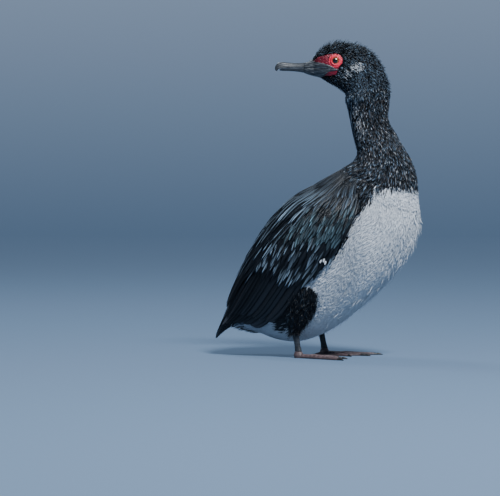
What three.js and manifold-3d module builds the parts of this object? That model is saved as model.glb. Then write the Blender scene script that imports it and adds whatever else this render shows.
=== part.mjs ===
// A rock shag (a small cormorant) standing upright and looking back past its right shoulder, at life size.
// Millimetres. +X is the way the body faces, +Y its left, +Z up; the soles stand on Z = 0.
import * as THREE from 'three';
import { mergeVertices } from 'three/addons/utils/BufferGeometryUtils.js';
import Module from 'manifold-3d';

const wasm = await Module();
wasm.setup();

// Driving dimensions
const GAP = 0.35; // clearance between two pieces that touch
const HEAD_TURN = THREE.MathUtils.degToRad(22); // how far the head looks off the midline, to the right
const NECK_TOP_X = 61.5; // where the neck's axis meets the head
const RING_SIDES = 24; // facets round the body, neck and head
const EYE_RADIUS = 6.6;
const EYE_FACETS = { around: 14, down: 8 };
const EYE = { forward: 49, side: 16.6, height: 443.2 }; // eyeball centre, seen from the neck's axis
const SHANK_RADIUS = { fore: 5.2, side: 3.6 };
const ANKLE_HEIGHT = 10;
const MERGE_WITHIN = 1e-4; // corners this close are one
const SMALLEST_EDGE = 0.04; // edges finer than this are smoothed away
const GRID = 0.01; // pitch that corners are moved to after a join or cut
const FOOT_THICKNESS = 2.2; // web, between the toes
const LEG = {
  right: { side: -1, hip: [-20, -49, 116], heel: [-38, -44, 42], ankle: [-33, -43, ANKLE_HEIGHT] },
  left: { side: 1, hip: [-14, 49, 116], heel: [-31, 44, 42], ankle: [-24, 43, ANKLE_HEIGHT] },
};

// The body's profile from neck base to tail tip: back and keel lines in the XZ plane, and half the width.
const BODY = [
  { back: [24, 283], keel: [138, 243], half: 44 },
  { back: [-11, 260], keel: [141, 194], half: 58 },
  { back: [-46, 241], keel: [126, 156], half: 66 },
  { back: [-72, 218], keel: [100, 122], half: 69 },
  { back: [-93, 194], keel: [71, 94], half: 69 },
  { back: [-110, 169], keel: [31, 61], half: 66 },
  { back: [-125, 145], keel: [-6, 37], half: 60 },
  { back: [-140, 118], keel: [-45, 23], half: 51 },
  { back: [-152, 90], keel: [-76, 24], half: 42 },
  { back: [-163, 64], keel: [-107, 34], half: 35 },
  { back: [-173, 42], keel: [-138, 27], half: 31 },
  { back: [-182, 22], keel: [-156, 13], half: 28 },
];
const TORSO_END = 8; // the last body station that the torso itself reaches

// The head and neck from bill base to neck base: crown and throat lines as distance in front of the
// neck's axis and height, half the width, and how much of the head's turn the section shares.
const NECK = [
  { crown: [84, 447], throat: [80, 422], half: 9, turn: 1 },
  { crown: [78, 458], throat: [71, 418.5], half: 14, turn: 1 },
  { crown: [66, 466.5], throat: [60, 412.5], half: 18, turn: 1 },
  { crown: [50, 470.5], throat: [49, 407], half: 20.5, turn: 1 },
  { crown: [30, 471], throat: [40, 402], half: 22, turn: 1 },
  { crown: [9, 466], throat: [34, 397.5], half: 23.5, turn: 1 },
  { crown: [-10, 452], throat: [32, 395], half: 24.5, turn: 1 },
  { crown: [-23, 432], throat: [31, 392.5], half: 25.5, turn: 1 },
  { crown: [-30, 411], throat: [31, 390], half: 26.5, turn: 1 },
  { crown: [-32, 394], throat: [31.5, 388], half: 27, turn: 1 },
  { crown: [-31.5, 378], throat: [29, 377], half: 26.5, turn: 0.9 },
  { crown: [-29.5, 364], throat: [27, 364], half: 25, turn: 0.75 },
  { crown: [-32.5, 349], throat: [24, 350], half: 25, turn: 0.6 },
  { crown: [-42, 333], throat: [20.5, 335], half: 27, turn: 0.45 },
  { crown: [-51, 316], throat: [17.5, 321], half: 30, turn: 0.3 },
  { crown: [-62, 296], throat: [14, 306], half: 34, turn: 0.15 },
  { crown: [-69, 273], throat: [19, 294], half: 39, turn: 0.05 },
  { crown: [-72.2, 244.6], throat: [34, 284.5], half: 44, turn: 0 },
];
const HEAD_END = 9; // the neck station where head and neck part

const material = (color, roughness, metalness = 0) =>
  new THREE.MeshStandardMaterial({ color, roughness, metalness });
const MATERIALS = {
  blackPlumage: material(0x14181c, 0.6),
  neckPlumage: material(0x191c22, 0.65),
  whitePlumage: material(0xdfe3e8, 0.85),
  bill: material(0x2b3036, 0.45),
  redSkin: material(0xb3142a, 0.55),
  eye: material(0x2a1408, 0.08),
  leg: material(0x3b3536, 0.6),
};

const mix = (a, b, t) => a + (b - a) * t;
const vec = (p) => new THREE.Vector3(...p);

// Solids

// A closed solid from rings of points, the same number in each, closed by a fan at both ends.
function ringSolid(rings) {
  const sides = rings[0].length;
  const points = rings.flat();
  const triangles = [];
  for (let i = 0; i + 1 < rings.length; i += 1)
    for (let j = 0; j < sides; j += 1) {
      const a = i * sides + j;
      const b = i * sides + ((j + 1) % sides);
      triangles.push(a, b, a + sides, b, b + sides, a + sides);
    }
  const last = (rings.length - 1) * sides;
  for (let j = 1; j + 1 < sides; j += 1) {
    triangles.push(0, j + 1, j);
    triangles.push(last, last + j, last + j + 1);
  }
  return indexedSolid(points, triangles);
}

// A closed surface as a solid, turned the right way out.
function indexedSolid(points, triangles) {
  const geometry = new THREE.BufferGeometry().setFromPoints(points);
  geometry.setIndex(triangles);
  return solidOf(geometry);
}

function solidOf(geometry) {
  const plain = geometry.index ? geometry.toNonIndexed() : geometry.clone();
  plain.deleteAttribute('normal');
  plain.deleteAttribute('uv');
  const merged = mergeVertices(plain, MERGE_WITHIN);
  const make = (triVerts) => new wasm.Manifold(new wasm.Mesh({
    numProp: 3, vertProperties: merged.attributes.position.array, triVerts,
  }));
  const triangles = new Uint32Array(merged.index.array);
  const solid = make(triangles);
  if (solid.volume() > 0) return solid;
  for (let i = 0; i < triangles.length; i += 3)
    [triangles[i + 1], triangles[i + 2]] = [triangles[i + 2], triangles[i + 1]];
  return make(triangles);
}

// The same solid with its corners moved to a fine grid, so that no two lie closer than its pitch.
function settled(solid) {
  const mesh = solid.getMesh();
  const points = [];
  const places = new Map();
  const index = [];
  for (let i = 0; i < mesh.numVert; i += 1) {
    const at = [0, 1, 2].map((k) => Math.round(mesh.vertProperties[i * mesh.numProp + k] / GRID) * GRID);
    const key = at.map((v) => v.toFixed(2)).join(' ');
    if (!places.has(key)) {
      places.set(key, points.length / 3);
      points.push(...at);
    }
    index.push(places.get(key));
  }
  const triangles = [];
  for (let i = 0; i < mesh.triVerts.length; i += 3) {
    const [a, b, c] = [0, 1, 2].map((k) => index[mesh.triVerts[i + k]]);
    if (a !== b && b !== c && c !== a) triangles.push(a, b, c);
  }
  return new wasm.Manifold(new wasm.Mesh({
    numProp: 3,
    vertProperties: new Float32Array(points),
    triVerts: new Uint32Array(triangles),
  }));
}

// The largest closed body of a solid, without sealed hollows or loose scraps.
function largest(solid) {
  const bodies = settled(solid.simplify(SMALLEST_EDGE)).decompose();
  return bodies.reduce((best, body) => (body.volume() > best.volume() ? body : best));
}

const union = (solids) => largest(wasm.Manifold.union(solids));

function named(name, solid, look) {
  const mesh = solid.getMesh();
  const geometry = new THREE.BufferGeometry();
  geometry.setAttribute('position', new THREE.BufferAttribute(mesh.vertProperties, 3));
  geometry.setIndex(new THREE.BufferAttribute(mesh.triVerts, 1));
  geometry.computeVertexNormals();
  const node = new THREE.Mesh(geometry, look);
  node.name = name;
  return node;
}

// Body surface

const curveOf = (points) => new THREE.CatmullRomCurve3(points, false, 'catmullrom', 0.5);
const backLine = curveOf(BODY.map((s) => new THREE.Vector3(s.back[0], s.half, s.back[1])));
const keelLine = curveOf(BODY.map((s) => new THREE.Vector3(s.keel[0], s.half, s.keel[1])));

// A point over the body's surface: station s, angle round from the back in degrees towards one side,
// and height above the surface.
function bodyPoint(s, degrees, height, side) {
  const t = THREE.MathUtils.clamp(s / (BODY.length - 1), 0, 1);
  const back = backLine.getPoint(t);
  const keel = keelLine.getPoint(t);
  const half = back.y;
  const up = new THREE.Vector3((back.x - keel.x) / 2, 0, (back.z - keel.z) / 2);
  const deep = up.length();
  const angle = THREE.MathUtils.degToRad(degrees);
  const outUp = Math.cos(angle) / deep;
  const outSide = Math.sin(angle) / half;
  const scale = height / Math.hypot(outUp, outSide);
  const along = deep * Math.cos(angle) + outUp * scale;
  const across = half * Math.sin(angle) + outSide * scale;
  return new THREE.Vector3((back.x + keel.x) / 2, 0, (back.z + keel.z) / 2)
    .addScaledVector(up.normalize(), along)
    .add(new THREE.Vector3(0, side * across, 0));
}

function bodyRing(s, height, shrink = 1) {
  const centre = bodyPoint(s, 0, 0, 1).add(bodyPoint(s, 180, 0, 1)).multiplyScalar(0.5);
  return Array.from({ length: RING_SIDES }, (_, j) =>
    bodyPoint(s, (j * 360) / RING_SIDES, height, 1).sub(centre).multiplyScalar(shrink).add(centre));
}

const BODY_STEPS = [0, 0.5, 1, 1.5, 2, 3, 4, 5, 6, 7, TORSO_END];
const RUMP_CAP = [[8.35, 0.9], [8.65, 0.72], [8.85, 0.45], [8.92, 0.15]]; // station, share of section

function torsoSolid(height) {
  const rings = BODY_STEPS.map((s) => bodyRing(s, height));
  for (const [s, share] of RUMP_CAP) rings.push(bodyRing(s, height, share));
  return ringSolid(rings);
}

// Head and neck surface

// A point from the distance in front of the neck's axis and the height, in a plane turned by a share
// of the head's turn, and its offset to the bird's side that faces the way it looks.
function neckPoint(forward, height, sideways, turn, axisX = NECK_TOP_X) {
  const angle = HEAD_TURN * turn;
  const stretch = 1 / Math.cos(HEAD_TURN - angle);
  const reach = -forward * stretch;
  return new THREE.Vector3(
    axisX + reach * Math.cos(angle) + sideways * Math.sin(angle),
    reach * Math.sin(angle) - sideways * Math.cos(angle),
    height,
  );
}

// A point on one section of the neck: angle round from the crown line towards the head's left.
function neckSurface(station, degrees, grow, lift = 0) {
  const [x0, z0] = station.throat;
  const [x1, z1] = station.crown;
  const middle = [(x0 + x1) / 2, (z0 + z1) / 2];
  const reach = Math.hypot(x1 - x0, z1 - z0) / 2;
  const axis = [(x1 - x0) / 2 / reach, (z1 - z0) / 2 / reach];
  const angle = THREE.MathUtils.degToRad(degrees);
  const along = (reach + grow) * Math.cos(angle);
  const forward = middle[0] + axis[0] * along + axis[1] * lift;
  const height = middle[1] + axis[1] * along - axis[0] * lift;
  // The neck's own axis drifts forward below the head, where the sections share less of the turn.
  const axisForward = middle[0] * (1 - station.turn);
  const axisX = NECK_TOP_X - axisForward / Math.cos(HEAD_TURN);
  const sideways = (station.half + grow) * Math.sin(angle);
  return neckPoint(forward - axisForward, height, sideways, station.turn, axisX);
}

const neckRing = (station, grow, lift) => Array.from({ length: RING_SIDES }, (_, j) =>
  neckSurface(station, (j * 360) / RING_SIDES, grow, lift));

function neckStation(n) {
  const i = Math.min(Math.floor(n), NECK.length - 2);
  const [from, to] = [NECK[i], NECK[i + 1]];
  const pair = (key) => [0, 1].map((axis) => mix(from[key][axis], to[key][axis], n - i));
  return {
    crown: pair('crown'),
    throat: pair('throat'),
    half: mix(from.half, to.half, n - i),
    turn: mix(from.turn, to.turn, n - i),
  };
}

const neckSolid = (from, to, grow, startLift = 0, endLift = 0) => ringSolid(
  NECK.slice(from, to + 1).map((station, i, all) =>
    neckRing(station, grow, i === 0 ? startLift : i === all.length - 1 ? endLift : 0)),
);

// Places a solid made in head axes (x forward, y to the head's left, z up) in the bird's frame.
const headMatrix = new THREE.Matrix4()
  .makeTranslation(NECK_TOP_X, 0, 0)
  .multiply(new THREE.Matrix4().makeRotationZ(Math.PI + HEAD_TURN));

function inHead(geometry) {
  return solidOf(geometry.clone().applyMatrix4(headMatrix));
}

function sphereInHead(side, radius) {
  const sphere = new THREE.SphereGeometry(radius, EYE_FACETS.around, EYE_FACETS.down);
  sphere.translate(EYE.forward, side * EYE.side, EYE.height);
  return inHead(sphere);
}

// Feathers

const VANE_THICK = 0.7;
const SHAFT_RISE = 0.35; // how far the shaft stands above the vane
const ROLL = 1.2; // how far a vane's lower edge is raised and its upper one sunk
const SWAY = 0.1; // uneven length and width from feather to feather
const RISE_POWER = 0.7; // below 1, a vane lifts off faster near its root
const PROBE = 2; // degrees to either side over which the surface's pitch is measured
// Share of the length from the root, and share of the full width there.
const LONG = [[0, 0.5], [0.35, 0.92], [0.7, 1], [0.93, 0.66], [1, 0.14]];
const POINTED = [[0, 0.6], [0.35, 1], [0.72, 0.7], [1, 0.1]];
const ROUNDED = [[0, 0.6], [0.45, 1], [0.84, 0.74], [1, 0.2]];
const SPINE_GAP = 1.2; // degrees that a wing stays off the back line

// One vane laid over the body's surface from its root to its tip, with a ridge along its shaft. lift is
// the height of its underside at root and tip, and roll raises its lower edge and sinks its upper one,
// so that each vane of a row lies over the next one down, like a shingle.
function vane({ root, tip, width, lift, side, outline, roll = ROLL, nearest = -90 }) {
  const rings = outline.map(([t, share]) => {
    const s = mix(root[0], tip[0], t);
    const middle = mix(root[1], tip[1], t);
    const height = mix(lift[0], lift[1], t ** RISE_POWER);
    const tilt = roll * share * Math.sqrt(t);
    const perDegree = bodyPoint(s, middle + PROBE, height, side)
      .distanceTo(bodyPoint(s, middle - PROBE, height, side)) / (2 * PROBE);
    const reach = (width * share) / 2 / perDegree;
    const edge = (sign, above) => bodyPoint(
      s,
      Math.max(nearest, middle + sign * reach),
      height + above + sign * tilt,
      side,
    );
    return [
      edge(-1, VANE_THICK),
      bodyPoint(s, middle, height + VANE_THICK + SHAFT_RISE, side),
      edge(1, VANE_THICK),
      edge(1, 0),
      edge(-1, 0),
    ];
  });
  return ringSolid(rings);
}

// A row of vanes from the lowest to the uppermost, roots and tips running between two pairs of places.
function featherRow(row, side) {
  return Array.from({ length: row.count }, (_, i) => {
    const t = i / (row.count - 1);
    const between = (a, b) => [mix(a[0], b[0], t), mix(a[1], b[1], t)];
    const sway = SWAY * Math.sin(i * 2.4 + row.root[0][0]);
    const tip = between(...row.tip);
    return vane({
      ...row,
      side,
      root: between(...row.root),
      tip: [tip[0] + sway, tip[1]],
      width: row.width * (1 + sway),
    });
  });
}

// A plate laid over the body's surface between two angle limits.
function bodyPlate({ stations, columns, from, to, low, high, edge, side }) {
  const rings = stations.map((s, i) => {
    const angles = Array.from({ length: columns + 1 }, (_, j) => mix(from(s), to(s), j / columns));
    const end = i === 0 || i === stations.length - 1;
    const top = angles.map((degrees, j) => {
      const rim = end || j === 0 || j === columns;
      return bodyPoint(s, degrees, rim ? edge : high, side);
    });
    const bottom = angles.map((degrees) => bodyPoint(s, degrees, low, side)).reverse();
    return [...top, ...bottom];
  });
  return ringSolid(rings);
}

// Head and face

// Sections of the bill: ridge or keel and the line where the halves meet, as distance in front of the
// neck's axis and height, with half the width.
const UPPER_BILL = [
  { top: [84.5, 445.6], base: [82.2, 432.9], half: 8.6 },
  { top: [90, 441.8], base: [89, 432.7], half: 7.2 },
  { top: [100, 440.4], base: [99.5, 432.9], half: 5.8 },
  { top: [110, 440.2], base: [110, 432.9], half: 5 },
  { top: [120, 441], base: [120, 432.5], half: 4.6 },
  { top: [128, 441.6], base: [128, 431.9], half: 4.4 },
  { top: [133.5, 440.6], base: [132.6, 431.3], half: 4 },
  { top: [137.2, 437.6], base: [134.2, 430.6], half: 3.2 },
  { top: [138.9, 433.2], base: [134.8, 429.6], half: 2.3 },
  { top: [138.6, 429.4], base: [136.2, 427.9], half: 1.1 },
];
const LOWER_BILL = [
  { top: [80.6, 422.2], base: [82.1, 432.5], half: 8.4 },
  { top: [90, 424.4], base: [90, 432.3], half: 6.6 },
  { top: [100, 426.4], base: [100, 432.5], half: 5.2 },
  { top: [110, 427.6], base: [110, 432.5], half: 4.4 },
  { top: [120, 428.2], base: [120, 432.1], half: 3.8 },
  { top: [128, 428.4], base: [128, 431.5], half: 3.2 },
  { top: [132, 428.9], base: [132, 431], half: 2.2 },
];
// Half of a bill section, from the meeting line to the ridge, with the groove along its side.
const BILL_PROFILE = [[1, 0], [0.98, 0.3], [0.8, 0.52], [0.77, 0.64], [0.5, 0.9], [0, 1]];

function billSolid(stations) {
  const left = BILL_PROFILE.slice(0, -1).map(([across, rise]) => [-across, rise]).reverse();
  const profile = [...BILL_PROFILE, ...left];
  return ringSolid(stations.map(({ top, base, half }) => profile.map(([across, rise]) =>
    new THREE.Vector3(mix(base[0], top[0], rise), across * half, mix(base[1], top[1], rise))
      .applyMatrix4(headMatrix))));
}

// The bare skin from bill to behind the eye and down to the corner of the mouth, seen from the side.
const FACE_OUTLINE = [
  [82.5, 442.5], [75, 448.5], [66, 450.8], [57, 453], [48, 453.8], [42, 451.5], [38.2, 445.5],
  [39, 439.5], [43.5, 434.2], [46, 430], [46.6, 426.5], [48, 422.6], [57, 420.6], [69, 420.6],
  [60, 426.6], [53.5, 430.6], [58.5, 435.8], [66, 438.8], [75, 440.2],
];
const MOUTH_LINE = [
  [88, 433.2], [72, 431], [57, 429.6], [57, 428.8], [72, 430.1], [88, 432.3],
];
const FACE_DEPTH = [5, 45]; // how far out from the head's midline the bare skin reaches
const SKIN_RISE = 1.2;
const MOUTH_DEPTH = 1.4;
const LID = { radius: 6.3, tube: 1.7, side: 20.6 }; // ring round the eyeball

function sidePrism(outline, side, near, far) {
  const shape = new THREE.Shape(outline.map(([x, z]) => new THREE.Vector2(x, z)));
  const prism = new THREE.ExtrudeGeometry(shape, { depth: far - near, bevelEnabled: false });
  prism.rotateX(Math.PI / 2);
  prism.translate(0, side > 0 ? far : -near, 0);
  return inHead(prism);
}

const headSolid = (grow) => neckSolid(0, HEAD_END, grow);

function lidRing(side) {
  const ring = new THREE.TorusGeometry(LID.radius, LID.tube, 6, 14);
  ring.rotateX(Math.PI / 2);
  ring.translate(EYE.forward, side * LID.side, EYE.height);
  return inHead(ring);
}

function facialSkin(side) {
  const patch = sidePrism(FACE_OUTLINE, side, ...FACE_DEPTH);
  const plate = headSolid(SKIN_RISE).intersect(patch);
  return largest(wasm.Manifold.union([plate, lidRing(side)])
    .subtract(headSolid(GAP))
    .subtract(sphereInHead(side, EYE_RADIUS + GAP)));
}

function mouthGroove(side) {
  return sidePrism(MOUTH_LINE, side, ...FACE_DEPTH).subtract(headSolid(-MOUTH_DEPTH));
}

// The short shaggy locks that stand up along the crown and lie down towards the nape.
const CREST = { from: 1.2, to: 8.4, rows: 12, across: 15, sunk: 1.5, width: 2.6, uneven: 0.18 };
const CREST_LEAN = { front: 0.45, back: 0.9 }; // 0 stands straight out, 1 lies along the head
const CREST_LENGTH = [[0, 5.5], [0.25, 8], [0.6, 7], [1, 4.5]]; // share of the way back, length
const LOCK_SECTIONS = [[0, 1], [0.55, 0.8], [1, 0.12]]; // share of the length, and of the width

function crestLength(share) {
  const i = CREST_LENGTH.findIndex(([at]) => at >= share);
  const [from, to] = [CREST_LENGTH[Math.max(0, i - 1)], CREST_LENGTH[Math.max(1, i)]];
  return mix(from[1], to[1], (share - from[0]) / (to[0] - from[0]));
}

function lock(n, degrees, length, lean, width) {
  const station = neckStation(n);
  const base = neckSurface(station, degrees, -CREST.sunk);
  const out = neckSurface(station, degrees, 5).sub(base).normalize();
  const back = neckSurface(neckStation(n + 0.5), degrees, 0)
    .sub(neckSurface(station, degrees, 0)).normalize();
  const across = new THREE.Vector3().crossVectors(out, back).normalize();
  return ringSolid(LOCK_SECTIONS.map(([t, share]) => {
    const reach = t * (length + CREST.sunk);
    const bend = lean * (0.55 + 0.45 * t);
    const centre = base.clone()
      .addScaledVector(out, reach * (1 - 0.5 * bend))
      .addScaledVector(back, reach * bend);
    return [[1, -0.3], [0, 0.6], [-1, -0.3]].map(([a, b]) => centre.clone()
      .addScaledVector(across, (a * share * width) / 2)
      .addScaledVector(back, (b * share * width) / 2));
  }));
}

function crestLocks() {
  return Array.from({ length: CREST.rows }, (_, row) => {
    const share = row / (CREST.rows - 1);
    const n = mix(CREST.from, CREST.to, share);
    return [-1, 0, 1].map((k) => {
      const wave = Math.sin(row * 2.1 + k * 4.3);
      const degrees = k * CREST.across + 5 * wave + (row % 2) * 6;
      const length = crestLength(share) * (1 + CREST.uneven * wave);
      const lean = mix(CREST_LEAN.front, CREST_LEAN.back, share);
      return lock(n + 0.1 * wave, degrees, length, lean, CREST.width);
    });
  }).flat();
}

function finishedHead() {
  let head = wasm.Manifold.union([headSolid(0), ...crestLocks()]);
  for (const side of [-1, 1]) {
    head = head.subtract(sphereInHead(side, EYE_RADIUS + GAP));
    head = head.subtract(mouthGroove(side));
  }
  return largest(head);
}

// Wings and tail

// Each row's roots and tips run from its lowest feather to its uppermost: body station, degrees from
// the back line.
const WING_ROWS = [
  { name: 'primaries', count: 5, root: [[5.4, 96], [6.2, 64]], tip: [[8.2, 110], [9.6, 58]],
    width: 16, lift: [1.7, 2.5], roll: 1.2, outline: LONG },
  { name: 'secondaries', count: 7, root: [[3.7, 90], [5, 36]], tip: [[7, 109], [9.2, 47]],
    width: 19, lift: [1.9, 5], outline: LONG },
  { name: 'tertials', count: 3, root: [[4.4, 44], [4.2, 16]], tip: [[8.5, 38], [8.4, 16]],
    width: 23, lift: [1.9, 7], roll: 0.8, outline: LONG },
  { name: 'greater coverts', count: 6, root: [[3.4, 98], [4.6, 46]], tip: [[4.9, 105], [6, 56]],
    width: 20, lift: [1.9, 6.2], outline: ROUNDED },
  { name: 'median coverts', count: 6, root: [[2.4, 98], [3.5, 48]], tip: [[3.8, 104], [4.8, 57]],
    width: 20, lift: [1.9, 6.2], outline: ROUNDED },
  { name: 'lesser coverts', count: 5, root: [[1.5, 94], [2.4, 53]], tip: [[2.8, 101], [3.7, 58]],
    width: 20, lift: [1.9, 6.2], outline: ROUNDED },
  { name: 'marginal coverts', count: 5, root: [[0.6, 78], [1.3, 52]], tip: [[1.8, 92], [2.6, 58]],
    width: 18, lift: [1.9, 6], outline: ROUNDED },
  { name: 'lower scapulars', count: 4, root: [[3.1, 48], [3, 13]], tip: [[6.2, 50], [6.2, 15]],
    width: 21, lift: [1.9, 7.2], outline: POINTED },
  { name: 'middle scapulars', count: 4, root: [[1.8, 50], [1.7, 13]], tip: [[4.6, 53], [4.4, 15]],
    width: 23, lift: [1.9, 7], outline: POINTED },
  { name: 'upper scapulars', count: 4, root: [[0.5, 50], [0.4, 13]], tip: [[3, 55], [2.8, 15]],
    width: 23, lift: [1.9, 6.8], outline: POINTED },
];
const WING_CORE = { low: 1.2, high: 3.7, edge: 1.8 }; // heights over the body of a wing's core
// Feathers on each side, the core's and the room's spread in degrees either side of the back line.
const TAIL = {
  feathers: 5,
  width: 17,
  core: { spread: 30, low: 0.8, high: 2.2, edge: 1.4 },
  room: { spread: 43, low: -2, high: 3.6 },
};

function wingCore(side) {
  return bodyPlate({
    stations: [0.12, 0.3, 0.5, 1, 1.5, 2, 3, 4, 5, 6, 7],
    columns: 8,
    from: () => 2,
    to: (s) => mix(66, 107, Math.min(1, s / 2) ** 0.6),
    ...WING_CORE,
    side,
  });
}

function wingSolid(side) {
  const vanes = WING_ROWS.flatMap((row) => featherRow({ ...row, nearest: SPINE_GAP }, side));
  return largest(wasm.Manifold.union([wingCore(side), ...vanes])
    .subtract(torsoSolid(GAP))
    .subtract(neckSolid(HEAD_END, NECK.length - 1, GAP))
    .subtract(tailRoom()));
}

// The space the tail may fill, which the wings over it stay out of.
const tailRoom = () => bodyPlate({
  stations: [7.5, 8.2, 8.8, 9.4, 10, 10.6, 11],
  columns: 6,
  from: () => -TAIL.room.spread,
  to: () => TAIL.room.spread,
  low: TAIL.room.low,
  high: TAIL.room.high,
  edge: TAIL.room.high,
  side: 1,
});

function tailSolid() {
  const core = bodyPlate({
    stations: [7.6, 8, 8.4, 8.8, 9.2],
    columns: 4,
    from: () => -TAIL.core.spread,
    to: () => TAIL.core.spread,
    low: TAIL.core.low,
    high: TAIL.core.high,
    edge: TAIL.core.edge,
    side: 1,
  });
  const vanes = [-1, 1].flatMap((side) => Array.from({ length: TAIL.feathers }, (_, i) => vane({
    root: [8.1, 3.5 + 5.6 * i],
    tip: [10.95 - 0.2 * i, 5 + 8 * i],
    width: TAIL.width,
    lift: [1.1, 2 - 0.18 * i],
    roll: 0.6,
    outline: LONG,
    side,
  })));
  return largest(wasm.Manifold.union([core, ...vanes]).subtract(torsoSolid(GAP)));
}

// Legs

const THIGH_SECTIONS = [ // share of the way from hip to heel, half fore and aft, half across
  [0, 34, 20], [0.3, 31, 18], [0.55, 26, 15.5], [0.75, 19, 12.5], [0.9, 12.5, 9.5], [1, 7.5, 6],
];
const SHANK_SECTIONS = [ // share of the way from heel to ankle, and of the radius fore and across
  [0, 1.25, 1.3], [0.12, 1.15, 1.2], [0.3, 0.95, 0.95], [0.75, 0.9, 0.9], [1, 1.1, 1.15],
];
const LEG_SIDES = 12;
const TOES = [ // length to the claw, degrees outward from straight ahead, half width at the root
  { length: 32, angle: -102, half: 3.2 },
  { length: 54, angle: -30, half: 3.8 },
  { length: 68, angle: -4, half: 4 },
  { length: 80, angle: 20, half: 4 },
];
const TOE_SECTIONS = [[0, 1, 1], [0.3, 0.8, 0.82], [0.37, 0.95, 0.9], [0.64, 0.74, 0.7],
  [0.93, 0.6, 0.55], [1, 0.35, 0.35]]; // share of length, width and height
const TOE_HEIGHT = 6.5;
const CLAW = { length: 11, half: 1.7, height: 3.6 };
const WEB_REACH = 0.93; // share of a toe's length that the web runs along
const WEB_DIP = 0.8; // how far out the web's edge still reaches midway between two toes
const WEB_STEPS = 6;
const CLAW_START = 0.95; // share of the toe's length
const FOOT_CENTRE = 2; // how far in front of the ankle the toes spring
const ANKLE_RINGS = [[0, 6.4, 5.2], [4, 7.6, 6], [ANKLE_HEIGHT - GAP, 5.8, 4.4]]; // z, fore, across

const ellipse = (centre, fore, side, count = LEG_SIDES) => Array.from({ length: count }, (_, j) => {
  const angle = (j / count) * 2 * Math.PI;
  return new THREE.Vector3(centre.x + fore * Math.cos(angle), centre.y + side * Math.sin(angle), centre.z);
});

function thighSolid(leg) {
  const [hip, heel] = [vec(leg.hip), vec(leg.heel)];
  const rings = THIGH_SECTIONS.map(([t, fore, across]) =>
    ellipse(hip.clone().lerp(heel, t), fore, across));
  return largest(ringSolid(rings).subtract(torsoSolid(GAP)).subtract(wingRoom(leg.side)));
}

// The space a wing may fill, which the thigh under it stays out of.
function wingRoom(side) {
  return bodyPlate({
    stations: [2, 3, 4, 5, 6, 7, 8, 9],
    columns: 8,
    from: () => 30,
    to: () => 114,
    low: -1,
    high: 10,
    edge: 10,
    side,
  });
}

function shankSolid(leg) {
  const top = vec(leg.heel);
  top.z -= GAP;
  const foot = vec(leg.ankle);
  return ringSolid(SHANK_SECTIONS.map(([t, fore, across]) =>
    ellipse(top.clone().lerp(foot, t), SHANK_RADIUS.fore * fore, SHANK_RADIUS.side * across)));
}

// A tapering rod with a flat sole lying on the floor, from its root along a heading.
function floorRod(root, heading, sections) {
  const along = new THREE.Vector3(Math.cos(heading), Math.sin(heading), 0);
  const across = new THREE.Vector3(-along.y, along.x, 0);
  const profile = [[-0.8, 0], [-1, 0.4], [-0.4, 1], [0.4, 1], [1, 0.4], [0.8, 0]];
  return ringSolid(sections.map(([distance, half, height]) => profile.map(([w, h]) =>
    root.clone().addScaledVector(along, distance).addScaledVector(across, w * half)
      .add(new THREE.Vector3(0, 0, h * height)))));
}

const headingOf = (toe, side) => side * THREE.MathUtils.degToRad(toe.angle);

function toeSolid(toe, root, side) {
  const heading = headingOf(toe, side);
  const toePart = floorRod(root, heading, TOE_SECTIONS.map(([t, width, height]) =>
    [t * toe.length, toe.half * width, TOE_HEIGHT * height]));
  const { length, half, height } = CLAW;
  const start = toe.length * CLAW_START;
  const claw = floorRod(root, heading, [
    [start, half * 0.8, height * 0.8], [start + length * 0.35, half, height],
    [start + length * 0.75, half * 0.6, height * 0.62], [start + length, half * 0.15, height * 0.2],
  ]);
  return [toePart, claw];
}

// The web between two neighbouring toes, its edge drawn back in the middle.
function webSolid(first, second, root, side) {
  const tipOf = (toe, reach) => {
    const heading = headingOf(toe, side);
    const out = toe.length * reach;
    return [root.x + Math.cos(heading) * out, root.y + Math.sin(heading) * out];
  };
  const corner = [tipOf(first, WEB_REACH), tipOf(second, WEB_REACH)];
  const edge = Array.from({ length: WEB_STEPS + 1 }, (_, i) => {
    const t = i / WEB_STEPS;
    const reach = 1 - (1 - WEB_DIP) * Math.sin(Math.PI * t);
    return new THREE.Vector2(
      root.x + (mix(corner[0][0], corner[1][0], t) - root.x) * reach,
      root.y + (mix(corner[0][1], corner[1][1], t) - root.y) * reach,
    );
  });
  const shape = new THREE.Shape([new THREE.Vector2(root.x, root.y), ...edge]);
  return solidOf(new THREE.ExtrudeGeometry(shape, { depth: FOOT_THICKNESS, bevelEnabled: false }));
}

function footSolid(leg) {
  const root = new THREE.Vector3(leg.ankle[0] + FOOT_CENTRE, leg.ankle[1], 0);
  const pieces = TOES.flatMap((toe) => toeSolid(toe, root, leg.side));
  for (let i = 0; i + 1 < TOES.length; i += 1)
    pieces.push(webSolid(TOES[i], TOES[i + 1], root, leg.side));
  const ankle = new THREE.Vector3(leg.ankle[0], leg.ankle[1], 0);
  pieces.push(ringSolid(ANKLE_RINGS.map(([z, fore, across]) =>
    ellipse(ankle.clone().setZ(z), fore, across))));
  return union(pieces);
}

// The bird

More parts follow.
